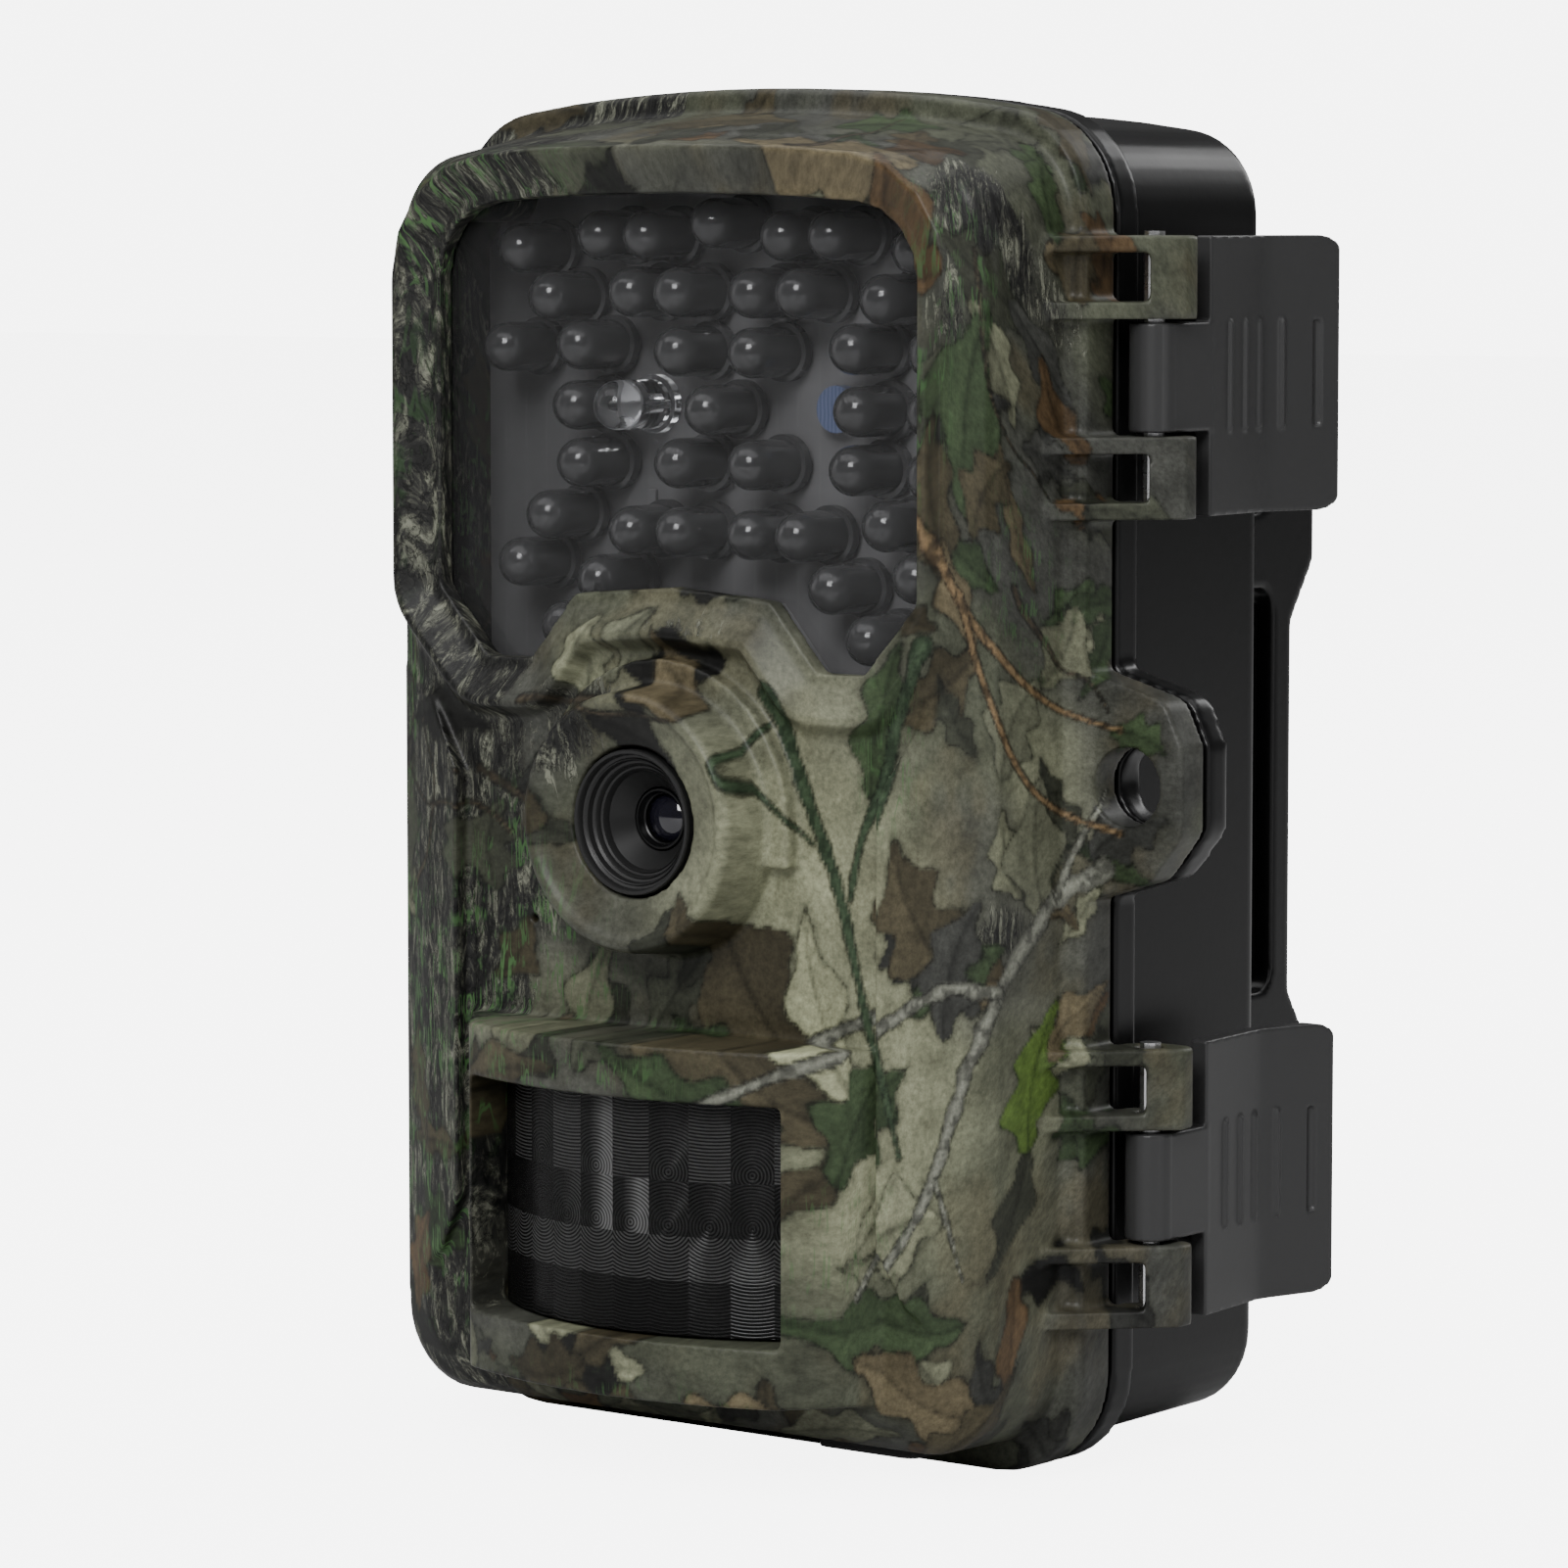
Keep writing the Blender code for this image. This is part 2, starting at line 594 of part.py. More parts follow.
def clear_led():
    x, z = CLEAR_LED
    radius = LED_RADIUS
    foot, tip = LED_BOARD_Y - GAP, LED_TIP_Y - 0.3
    profile = [(0.0, foot), (radius + 0.3, foot), (radius + 0.3, foot - 1.0), (radius, foot - 1.0),
               (radius, tip + radius), (radius * 0.87, tip + radius * 0.5),
               (radius * 0.5, tip + radius * 0.13), (0.0, tip)]
    return finish_part(turned("clear_led", profile, (x, z), 16, closed=False), "clear")


def light_cell():
    x, z = LIGHT_CELL
    cell = cylinder("light_cell", (x, LED_BOARD_Y - GAP - 1.6, z), 1.6, 2.3, "Y", 20)
    return finish_part(cell, "light_cell")


def lens_bezel():
    outer = LENS_BORE_RADIUS - GAP
    profile = [(outer, -16.8), (outer, -25.1), (6.3, -25.1), (6.2, -24.2), (5.8, -24.1), (5.7, -23.2),
               (5.4, -23.1), (3.6, -19.4), (3.4, -18.7), (3.4, -16.8)]
    return finish_part(turned("lens_bezel", profile, (0.0, LENS_Z), 36), "black_plastic")


def lens_barrel():
    profile = [(0.0, -5.2), (5.6, -5.2), (5.6, -15.6), (3.1, -15.8), (3.1, -18.0), (2.7, -18.0),
               (2.7, -17.2), (0.0, -17.2)]
    barrel = turned("lens_barrel", profile, (0.0, LENS_Z), 24, closed=False)
    return finish_part(barrel, "black_plastic")


def lens_glass():
    profile = [(0.0, -17.5), (2.4, -17.5), (2.4, -18.0), (2.0, -18.5), (1.1, -18.85), (0.0, -18.95)]
    return finish_part(turned("lens_glass", profile, (0.0, LENS_Z), 20, closed=False), "clear")


def lens_holder():
    holder = box("lens_holder", (-7.6, -12.0, LENS_Z - 7.6), (7.6, -4.7, LENS_Z + 7.6))
    cut(holder, cylinder("holder_bore", (0.0, -13.0, LENS_Z), 10.0, 5.9, "Y", 24))
    return finish_part(holder, "black_plastic")


def camera_board():
    board = box("camera_board", (-10.5, -4.4, LENS_Z - 11.0), (10.5, -3.2, LENS_Z + 11.0))
    join(board, box("sensor_chip", (-3.4, -4.8, LENS_Z - 2.8), (3.4, -4.0, LENS_Z + 2.8)))
    return finish_part(board, "board")


def infrared_filter_drive():
    """The coil and arm that swing the infrared-cut filter, beside the lens holder."""
    drive = box("ir_filter_drive", (8.0, -11.0, LENS_Z - 5.0), (13.0, -5.0, LENS_Z + 5.0))
    return finish_part(drive, "grey_plastic")


def sensor_lens():
    """The curved Fresnel lens of the motion sensor, with a foot along each side."""
    half = VISOR_HALF_WIDTH - GAP
    skin = 0.9
    outer = bulge(half, SENSOR_EDGE_Y, SENSOR_FRONT_Y, 16)
    inner = bulge(half - skin, SENSOR_EDGE_Y + 0.5, SENSOR_FRONT_Y + skin, 16)
    section = [(-half - 2.3, -15.2), (-half - 2.3, -16.1), (-half, -16.1), *outer, (half, -16.1),
               (half + 2.3, -16.1), (half + 2.3, -15.2), (half - skin, -15.2), *reversed(inner),
               (-half + skin, -15.2)]
    lens = extruded("motion_lens", [section], SENSOR_LOW_Z + GAP, SENSOR_HIGH_Z - GAP, "Z")
    return finish_part(lens, "smoked")


def motion_sensor():
    middle = (SENSOR_LOW_Z + SENSOR_HIGH_Z) / 2.0
    can = turned("motion_sensor", [(0.0, -8.3), (4.6, -8.3), (4.6, -8.9), (4.2, -8.9), (4.2, -12.2),
                                   (3.9, -12.5), (0.0, -12.5)], (0.0, middle), 20, closed=False)
    board = box("motion_board", (-12.0, -8.0, 14.0), (12.0, -6.8, 37.0))
    return finish_part(can, "steel"), finish_part(board, "board")


def microphone():
    capsule = cylinder("microphone", (MIC_X, -16.0, MIC_Z), 2.4, 2.2, "Y", 16)
    return finish_part(capsule, "steel")


def speaker():
    profile = [(0.0, -12.3), (4.5, -12.3), (4.5, -13.6), (7.5, -14.2), (7.5, -15.9), (6.6, -15.9),
               (0.0, -15.3)]
    return finish_part(turned("speaker", profile, (22.0, 50.0), 24, closed=False), "grey_plastic")


# --- Boards, control panel and power ---------------------------------------------------------

def main_board():
    board = box("main_board", (-26.4, -2.4, 8.5), (26.4, -0.8, 124.0))
    chips = [(-12.0, 2.0, 96.0, 110.0), (8.0, 16.0, 100.0, 108.0), (-20.0, -10.0, 40.0, 50.0)]
    for index, (x0, x1, z0, z1) in enumerate(chips):
        join(board, box(f"chip_{index}", (x0, -3.5, z0), (x1, -2.0, z1)))
    return finish_part(board, "board")


def panel_outline():
    return case_outline(4.9, 5.6, 5.6, 6.0)


def control_panel():
    holes = [rectangle(*SCREEN), rectangle(*CARD_BAY, 1.0), rectangle(*SWITCH_SLOT, 1.0)]
    holes += [circle(x, z, BUTTON_RADIUS + GAP, 18) for x, z in BUTTONS.values()]
    x, z = USB_CENTRE
    holes.append(rectangle(x - 4.4, x + 4.4, z - 2.4, z + 2.4))
    holes += [circle(x, z, 1.1, 12) for x, z in POSTS]
    panel = extruded("control_panel", [panel_outline()], PANEL_FRONT, PANEL_BACK, "Y")
    join(panel, box("tray", (-TRAY_HALF_WIDTH, PANEL_BACK - 0.4, TRAY_LOW_Z),
                    (TRAY_HALF_WIDTH, TRAY_DEPTH_Y, TRAY_HIGH_Z)))
    cut(panel, box("tray_hollow", (-TRAY_HALF_WIDTH + TRAY_WALL, PANEL_BACK + 1.4, TRAY_LOW_Z + TRAY_WALL),
                   (TRAY_HALF_WIDTH - TRAY_WALL, TRAY_DEPTH_Y + 1.0, TRAY_HIGH_Z - TRAY_WALL)))
    cut(panel, extruded("panel_holes", holes, PANEL_FRONT - 1.0, PANEL_BACK + 1.0, "Y"))
    return finish_part(panel, "black_plastic")


def screen():
    x0, x1, z0, z1 = SCREEN
    body = box("screen", (x0 + GAP, -0.5, z0 + GAP), (x1 - GAP, 2.3, z1 - GAP))
    return finish_part(body, "screen")


def button(name, x, z, axis):
    cap = cylinder(name, (x, 0.2, z), 3.4, BUTTON_RADIUS, "Y", 18)
    bevel = cap.modifiers.new("Soft edge", "BEVEL")
    bevel.width = 0.35 * MM
    bevel.segments = 2
    bevel.limit_method = "ANGLE"
    bevel.angle_limit = math.radians(60.0)
    return finish_part(cap, "grey_plastic", axis)


def power_switch(axis):
    x0, x1, z0, z1 = SWITCH_SLOT
    middle = (x0 + x1) / 2.0
    slider = box("power_switch", (middle - 2.2, 0.0, z0 + GAP), (middle + 2.2, 2.5, z1 - GAP))
    join(slider, box("switch_thumb", (middle - 1.2, 2.3, z0 + 0.8), (middle + 1.2, 4.4, z1 - 0.8)))
    return finish_part(slider, "grey_plastic", axis)


def usb_port():
    x, z = USB_CENTRE
    shell = box("usb_port", (x - 4.0, -0.5, z - 2.0), (x + 4.0, 2.6, z + 2.0))
    cut(shell, box("usb_mouth", (x - 3.5, 0.4, z - 1.5), (x + 3.5, 3.5, z + 1.5)))
    return finish_part(shell, "steel")


def card_slot():
    x0, x1, z0, _ = CARD_BAY
    low, high = z0 + 0.8, z0 + 14.0
    shell = box("card_slot", (x0 + 0.7, -0.5, low), (x1 - 0.7, 2.1, high))
    cut(shell, box("card_channel", (x0 + 1.4, 0.1, low + 0.8), (x1 - 1.4, 1.7, high + 1.0)))
    return finish_part(shell, "steel")


def memory_card(axis):
    x0, x1, z0, _ = CARD_BAY
    middle = (x0 + x1) / 2.0
    outline = rounded([(middle - 5.5, z0 + 2.0, 0.5), (middle + 5.5, z0 + 2.0, 0.5),
                       (middle + 5.5, z0 + 17.0, 0.5), (middle - 3.6, z0 + 17.0, 0.4),
                       (middle - 5.5, z0 + 14.6, 0.4)], 2)
    return finish_part(extruded("memory_card", [outline], 0.4, 1.4, "Y"), "black_plastic", axis)


def battery(index):
    """An AA cell standing on end; neighbours point opposite ways."""
    x = (index - 1.5) * CELL_PITCH
    low = (TRAY_LOW_Z + TRAY_HIGH_Z - CELL_LENGTH - 1.4) / 2.0
    name = f"battery_{index + 1}"
    up = index % 2 == 0
    cell = cylinder(name, (x, CELL_Y, low + (0.0 if up else 1.4)), CELL_LENGTH, CELL_RADIUS, "Z", 20)
    nub_low = low + CELL_LENGTH - 0.5 if up else low
    join(cell, cylinder(name + "_nub", (x, CELL_Y, nub_low), 1.9, 2.7, "Z", 12))
    return finish_part(cell, "cell")


def battery_contacts(name, low, high, spring_side, springs):
    """A pressed strip along one end of the tray, with a domed spring for every second cell."""
    half = TRAY_HALF_WIDTH - TRAY_WALL - GAP
    strip = box(name, (-half, 5.5, low), (half, 18.0, high))
    for index in springs:
        x = (index - 1.5) * CELL_PITCH
        start = high - 0.1 if spring_side > 0 else low - 0.6
        wide, narrow = (3.6, 2.4) if spring_side > 0 else (2.4, 3.6)
        join(strip, cylinder(f"{name}_spring_{index}", (x, CELL_Y, start), 0.7, wide, "Z", 14, narrow))
    return finish_part(strip, "steel")


def battery_door(axis):
    door = box("battery_door", (-TRAY_HALF_WIDTH, TRAY_DEPTH_Y + GAP, TRAY_LOW_Z),
               (TRAY_HALF_WIDTH, TRAY_DEPTH_Y + GAP + 1.5, TRAY_HIGH_Z))
    for step in range(3):
        z = TRAY_HIGH_Z - 6.0 - 3.0 * step
        join(door, box(f"door_grip_{step}", (-9.0, TRAY_DEPTH_Y + 1.5, z),
                       (9.0, TRAY_DEPTH_Y + GAP + 2.1, z + 1.0)))
    return finish_part(door, "black_plastic", axis)


def panel_screw(index, x, z):
    profile = [(0.0, -6.5), (0.8, -6.0), (0.8, PANEL_BACK + GAP), (1.9, PANEL_BACK + GAP),
               (1.9, PANEL_BACK + 1.2), (1.4, PANEL_BACK + 1.6), (0.0, PANEL_BACK + 1.6)]
    screw = turned(f"panel_screw_{index + 1}", profile, (x, z), 12, closed=False)
    return finish_part(screw, "steel")


def power_jack():
    jack = cylinder("power_jack", (JACK_X, JACK_Y, 5.6), 9.0, 4.2, "Z", 20)
    cut(jack, cylinder("jack_mouth", (JACK_X, JACK_Y, 4.0), 9.0, 2.6, "Z", 16))
    join(jack, cylinder("jack_pin", (JACK_X, JACK_Y, 7.0), 6.5, 0.6, "Z", 8))
    return finish_part(jack, "black_plastic")


def port_cover(axis):
    plate = extruded("port_cover", [rectangle(JACK_X - 6.5, JACK_X + 5.5, JACK_Y - 3.6, JACK_Y + 3.6, 1.5)],
                     2.2, 3.0, "Z")
    join(plate, cylinder("port_plug", (JACK_X, JACK_Y, 2.8), 1.7, 2.3, "Z", 16))
    return finish_part(plate, "rubber", axis)


def flat_cable():
    """The ribbon from the diode board down to the main board."""
    ribbon = box("flat_cable", (-9.0, -4.1, 92.0), (-1.0, -3.8, 118.0))
    return finish_part(ribbon, "grey_plastic")


# --- Rear cover ------------------------------------------------------------------------------

def fin(side):
    """One of the two upright ribs on the back that rest against a tree and guide the strap."""
    x = side * FIN_X
    root = COVER_REAR_Y - 1.0
    profile = rounded([(root, 14.0, 0.0), (root + 8.0, 14.0, 3.0), (FIN_WIDE_Y, 22.0, 4.0),
                       (FIN_WIDE_Y, 36.0, 3.0), (FIN_NARROW_Y, 42.0, 4.0), (FIN_NARROW_Y, 79.5, 4.0),
                       (FIN_WIDE_Y, 85.5, 3.0), (FIN_WIDE_Y, 101.0, 4.0), (root + 8.0, 112.0, 3.0),
                       (root, 112.0, 0.0)], 4)
    slot = rectangle(31.0, 38.6, 42.5, 83.0, 2.0)
    eyes = [rectangle(31.0, 38.6, low, low + 13.0, 3.4) for low in (90.5, 24.0)]
    name = "fin_right" if side > 0 else "fin_left"
    return extruded(name, [profile, slot, *eyes], x - FIN_THICKNESS / 2.0, x + FIN_THICKNESS / 2.0, "X")


def rear_cover(axis):
    cover = case_loft("rear_cover", [
        (COVER_FRONT_Y, 0.0, 0.0, 0.0, CORNER_RADIUS),
        (COVER_FLANGE_Y - 0.4, 0.0, 0.0, 0.0, CORNER_RADIUS),
        (COVER_FLANGE_Y, 0.4, 0.4, 0.4, CORNER_RADIUS - 0.4),
        (COVER_FLANGE_Y + 0.05, 1.8, 1.6, 1.7, CORNER_RADIUS - 1.4),
        (COVER_REAR_Y - 1.2, 2.0, 1.8, 1.9, CORNER_RADIUS - 1.6),
        (COVER_REAR_Y, 2.8, 2.6, 2.7, CORNER_RADIUS - 2.4)])
    join(cover, fin(1), fin(-1))
    for index, z in enumerate((38.6, 85.8)):
        join(cover, box(f"cross_rib_{index}", (-FIN_X, COVER_REAR_Y - 1.0, z), (FIN_X, 31.5, z + 2.0)))
    for level, z in LATCH_ZS.items():
        join(cover, box(f"catch_{level}", (35.5, 19.0, z - 9.0), (39.7, 21.6, z + 9.0)))
    join(cover, cylinder("tripod_boss", (0.0, TRIPOD_Y, 0.0), 8.5, 7.5, "Z", 28))
    join(cover, extruded("lug_rear", [rounded(LUG), circle(*LUG_HOLE)], 0.75, 3.9, "Y"))
    hollow = case_loft("rear_cavity", [(COVER_FRONT_Y - 0.5, 3.8, 3.6, 3.7, 6.6),
                                       (COVER_REAR_Y - COVER_WALL, 4.0, 3.8, 3.9, 6.4)])
    island = cylinder("boss_island", (0.0, TRIPOD_Y, -1.0), 9.5, 7.5, "Z", 28)
    cut(hollow, island)
    cut(cover, hollow)
    groove = extruded("seal_groove", [case_outline(1.0, 1.0, 1.0, 9.0), case_outline(3.0, 3.0, 3.0, 7.0)],
                      COVER_FRONT_Y - 1.0, COVER_FRONT_Y + 1.1, "Y")
    cut(cover, groove, cylinder("insert_hole", (0.0, TRIPOD_Y, -1.0), 8.0, 4.9, "Z", 24))
    for level, z in HINGE_LOW_ZS.items():
        low = z + KNUCKLE + GAP
        join(cover, hinge_knuckle(f"cover_knuckle_{level}", low, low + KNUCKLE_MIDDLE, False))
        cut(cover, cylinder(f"hinge_bore_rear_{level}", (*HINGE_AXIS, low - 1.0), KNUCKLE_MIDDLE + 2.0,
                            PIN_BORE_RADIUS, "Z", 12))
    return finish_part(cover, "black_plastic", axis)


def seal(axis):
    ring = extruded("seal", [case_outline(1.3, 1.3, 1.3, 8.7), case_outline(2.7, 2.7, 2.7, 7.3)],
                    0.3, 1.4, "Y")
    return finish_part(ring, "rubber", axis)


def tripod_insert(axis):
    insert = cylinder("tripod_insert", (0.0, TRIPOD_Y, 0.5), 6.2, 4.6, "Z", 20)
    cut(insert, cylinder("insert_thread", (0.0, TRIPOD_Y, -0.5), 6.0, 3.1, "Z", 20))
    return finish_part(insert, "brass", axis)


# --- Latches and hinge pins ------------------------------------------------------------------

def latch_lever(level, z, axis):
    x, y = LATCH_AXIS
    name = f"latch_{level}"
    neck = LEVER_NECK_HALF_HEIGHT
    plate = rounded([(44.5, 7.0, 0.0), (43.5, 18.0, 6.0), (46.3, 27.0, 0.4), (44.6, 27.5, 0.4),
                     (41.8, 18.3, 6.0), (42.7, 7.0, 0.0)][::-1], 4)
    lever = extruded(name, [plate], z - LEVER_HALF_HEIGHT, z + LEVER_HALF_HEIGHT, "Z")
    half = LEVER_HALF_HEIGHT - 0.05
    pad = rounded([(4.0, z - half, 0.0), (27.8, z - half, 3.2), (27.8, z + half, 3.2),
                   (4.0, z + half, 0.0)], 5)
    trim(lever, extruded(name + "_pad", [pad], 38.0, 50.0, "X"))
    corner = lever.modifiers.new("Rounded corners", "BEVEL")
    corner.width = 0.5 * MM
    corner.segments = 2
    corner.limit_method = "ANGLE"
    corner.angle_limit = math.radians(60.0)
    strap = rounded([(44.6, 1.0, 0.0), (44.5, 7.6, 0.0), (42.7, 7.6, 0.0), (42.6, 1.0, 0.0)][::-1])
    join(lever, extruded(name + "_neck", [strap], z - neck, z + neck, "Z"),
         cylinder(name + "_barrel", (x, y, z - neck), 2.0 * neck, 2.35, "Z", 20))
    claw = rounded([(44.2, 25.6, 0.0), (43.2, 22.6, 0.0), (40.2, 22.7, 0.4), (40.2, 24.3, 0.4)][::-1])
    join(lever, extruded(name + "_claw", [claw], z - 8.0, z + 8.0, "Z"))
    for index, ridge_y in enumerate(LEVER_RIDGES):
        slant = 44.5 - (ridge_y - 7.0) / 11.0 if ridge_y < 18.0 else 43.5 + (ridge_y - 18.0) * 0.31
        join(lever, box(f"{name}_ridge_{index}", (slant - 1.0, ridge_y - 0.25, z - neck),
                        (slant + 0.35, ridge_y + 0.25, z + neck)))
    groove_x = 43.5 + (LEVER_GROOVE_Y - 18.0) * 0.31
    cut(lever, box(name + "_groove", (groove_x - 0.4, LEVER_GROOVE_Y - 0.5, z - neck),
                   (groove_x + 1.5, LEVER_GROOVE_Y + 0.5, z + neck)),
        cylinder(name + "_bore", (x, y, z - 8.0), 16.0, PIN_BORE_RADIUS, "Z", 12))
    return finish_part(lever, "black_plastic", axis)


def latch_pin(level, z):
    pin = cylinder(f"latch_pin_{level}", (*LATCH_AXIS, z - BRACKET_OUTER + 0.6),
                   2.0 * BRACKET_OUTER - 0.2, LATCH_PIN_RADIUS, "Z", 12)
    return finish_part(pin, "steel")


def hinge_pin(level, z):
    length = 2.0 * KNUCKLE + KNUCKLE_MIDDLE + 2.0 * GAP
    pin = cylinder(f"hinge_pin_{level}", (*HINGE_AXIS, z + 0.2), length, LATCH_PIN_RADIUS, "Z", 12)
    return finish_part(pin, "steel")


# --- Assembly --------------------------------------------------------------------------------

def build_fixed_parts():
    front_housing()
    infrared_window()
    led_board()
    clear_led()
    light_cell()
    lens_bezel()
    lens_barrel()
    lens_glass()
    lens_holder()
    camera_board()
    infrared_filter_drive()
    sensor_lens()
    motion_sensor()
    microphone()
    speaker()
    main_board()
    flat_cable()
    control_panel()
    screen()
    usb_port()
    card_slot()
    power_jack()
    for index in range(4):
        battery(index)
    battery_contacts("contacts_bottom", 14.7, 15.2, 1, (0, 2))
    battery_contacts("contacts_top", 67.8, 68.3, -1, (1, 3))
    for index, (x, z) in enumerate(POSTS):
        panel_screw(index, x, z)
    for level, z in LATCH_ZS.items():
        latch_pin(level, z)
    for level, z in HINGE_LOW_ZS.items():
        hinge_pin(level, z)


def build_moving_parts():
    cover_axis = add_empty("cover_hinge_axis", (*HINGE_AXIS, HEIGHT / 2.0), SEAM)
    rear_cover(cover_axis)
    seal(cover_axis)
    tripod_insert(cover_axis)
    for level, z in LATCH_ZS.items():
        latch_lever(level, z, add_empty(f"latch_axis_{level}", (*LATCH_AXIS, z), SEAM))
    for name, (x, z) in BUTTONS.items():
        button(name, x, z, add_empty(f"{name}_axis", (x, 0.0, z), SEAM))
    x0, x1, z0, z1 = SWITCH_SLOT
    power_switch(add_empty("power_switch_axis", ((x0 + x1) / 2.0, 0.0, (z0 + z1) / 2.0), SEAM))
    x0, x1, z0, z1 = CARD_BAY
    memory_card(add_empty("memory_card_axis", ((x0 + x1) / 2.0, 1.0, z0), SEAM))
    battery_door(add_empty("battery_door_axis", (0.0, TRAY_DEPTH_Y, TRAY_LOW_Z), SEAM))
    port_cover(add_empty("port_cover_axis", (JACK_X - 6.5, JACK_Y, 2.8), SEAM))


build_fixed_parts()
build_moving_parts()
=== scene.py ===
"""Trail camera on a pale studio floor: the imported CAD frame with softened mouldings, a printed
woodland film on the front housing, diodes behind smoked glass and a faceted motion-sensor lens."""

import math
import random

import bmesh
import bpy
import numpy as np
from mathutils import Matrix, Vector


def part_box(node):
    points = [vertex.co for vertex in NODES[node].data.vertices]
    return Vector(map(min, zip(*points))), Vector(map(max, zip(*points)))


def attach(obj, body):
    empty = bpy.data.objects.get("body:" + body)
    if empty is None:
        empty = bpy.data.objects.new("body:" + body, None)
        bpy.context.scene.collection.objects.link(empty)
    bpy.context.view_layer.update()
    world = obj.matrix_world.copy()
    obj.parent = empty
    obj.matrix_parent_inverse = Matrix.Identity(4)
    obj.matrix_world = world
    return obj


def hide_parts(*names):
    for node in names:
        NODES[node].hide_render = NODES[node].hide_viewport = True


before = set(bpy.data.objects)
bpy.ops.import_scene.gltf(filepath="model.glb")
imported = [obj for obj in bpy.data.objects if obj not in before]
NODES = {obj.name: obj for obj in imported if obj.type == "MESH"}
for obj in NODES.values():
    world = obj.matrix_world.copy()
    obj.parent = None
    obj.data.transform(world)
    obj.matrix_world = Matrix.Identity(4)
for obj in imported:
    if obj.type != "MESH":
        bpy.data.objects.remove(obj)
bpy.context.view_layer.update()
SCENE = bpy.context.scene

# Lengths are in millimetres, and Y is measured from the seam between the shells, which lies SEAM_Y
# behind the frame's origin. Only the camera's place and the studio are in the frame itself, and the
# studio is in metres.
MM = 0.001
SEAM_Y = 2.4
DRAWS = random.Random(7)

CAMERA_PLACE = (376.11, -489.77, 120.77)
CAMERA_AZIMUTH, CAMERA_FALL = 37.454, 5.203
FOCAL_LENGTH, SENSOR_WIDTH = 145.05, 36.0

LENS_Z = 62.5
WINDOW = ((-29, 83.9), (-22.9, 77.1), (-17.5, 77.1), (-11.9, 83.7), (0, 84.6), (11.9, 83.7),
          (17.5, 77.1), (22.9, 77.1), (29, 83.9), (29, 113.8), (28, 117.6), (25.5, 120.2),
          (21.7, 121.4), (14, 122), (0, 122.3), (-14, 122), (-21.7, 121.4), (-25.5, 120.2),
          (-28, 117.6), (-29, 113.8))
BOARD = ((-33.6, 72.5), (33.6, 72.5), (33.6, 117), (30, 121.8), (26, 124.8), (20, 125.9), (12, 126.4),
         (0, 126.8), (-12, 126.4), (-20, 125.9), (-26, 124.8), (-30, 121.8), (-33.6, 117))
BOARD_FRONT, BOARD_BACK = -5.8, -4.4
PANE_FRONT, PANE_BACK = -16.7, -15.5
LED_TIP, LED_RADIUS, LED_COLLAR = -14.5, 2.45, 0.45
LED_PAIRS = ((24.1, 116.9), (14.1, 118.2), (8.4, 118.2), (20.3, 112.2), (10.2, 112.7), (4.6, 112.7),
             (16.7, 107.5), (4.5, 107), (17.2, 101.6), (16.7, 96), (4.5, 96.2), (20.6, 90.8),
             (10.2, 89.5), (4.4, 89.5), (24.2, 86), (14.2, 84.6), (18.7, 79.9), (26, 107.2))
LED_SINGLES = ((0, 119.4), (-0.8, 101.4), (25.8, 101.6), (25.8, 95.7))
CLEAR_LED = (-11.8, 101.7)
CHIP_COUNT, CHIP_X, CHIP_Z = 16, (-26.0, 26.0), (86.0, 117.0)
DOT_COLUMNS, DOT_ROWS = (-20.3, -18.9), (95.2, 96.6, 98.0, 99.4, 100.8, 102.2)
RAIL_X, RAIL_Y, RAIL_Z = (27.8, 29.2), (38.5, 40.8), (41.5, 84.0)


# --- Node helpers ----------------------------------------------------------------------------

def put(tree, kind, inputs=(), **settings):
    """Adds a shader node; an input is either a value or the socket that feeds it."""
    node = tree.nodes.new("ShaderNode" + kind)
    for key, value in settings.items():
        setattr(node, key, value)
    for key, value in dict(inputs).items():
        if isinstance(value, bpy.types.NodeSocket):
            tree.links.new(value, node.inputs[key])
        else:
            node.inputs[key].default_value = value
    return node


def calc(tree, operation, value, *others):
    """One operation on a value, or on the value so far and each of the others in turn."""
    for other in others or (0.0,):
        value = put(tree, "Math", {0: value, 1: other}, operation=operation).outputs[0]
    return value


def off_middle(tree, factor):
    """How far a factor is from a half: 0 along the lines where a noise crosses its middle."""
    return calc(tree, "ABSOLUTE", calc(tree, "SUBTRACT", factor, 0.5))


def noise(tree, vector, scale, detail=3.0, roughness=0.5, distortion=0.0):
    node = put(tree, "TexNoise", {"Vector": vector, "Scale": scale, "Detail": detail,
                                            "Roughness": roughness, "Distortion": distortion})
    return node.outputs[0]


def ramp(tree, factor, stops):
    node = put(tree, "ValToRGB", {"Fac": factor})
    elements = node.color_ramp.elements
    while len(elements) < len(stops):
        elements.new(0.5)
    for element, (place, colour) in zip(elements, stops):
        element.position = place
        element.color = (*colour, 1.0)
    return node.outputs[0]


def mix(tree, factor, first, second, blend="MIX"):
    node = put(tree, "Mix", {0: factor}, data_type="RGBA", blend_type=blend)
    for index, value in ((6, first), (7, second)):
        if isinstance(value, bpy.types.NodeSocket):
            tree.links.new(value, node.inputs[index])
        else:
            node.inputs[index].default_value = (*value, 1.0)
    return node.outputs[2]


def neutral(level):
    return (level,) * 3


def spread(tree, factor, low, high):
    """Maps 0..1 to low..high."""
    return put(tree, "MapRange", {"Value": factor, "To Min": low, "To Max": high}).outputs[0]


def stretched(tree, vector, scale, turn=0.0):
    node = put(tree, "Mapping", {"Vector": vector, "Scale": scale,
                                           "Rotation": (0.0, 0.0, math.radians(turn))})
    return node.outputs[0]


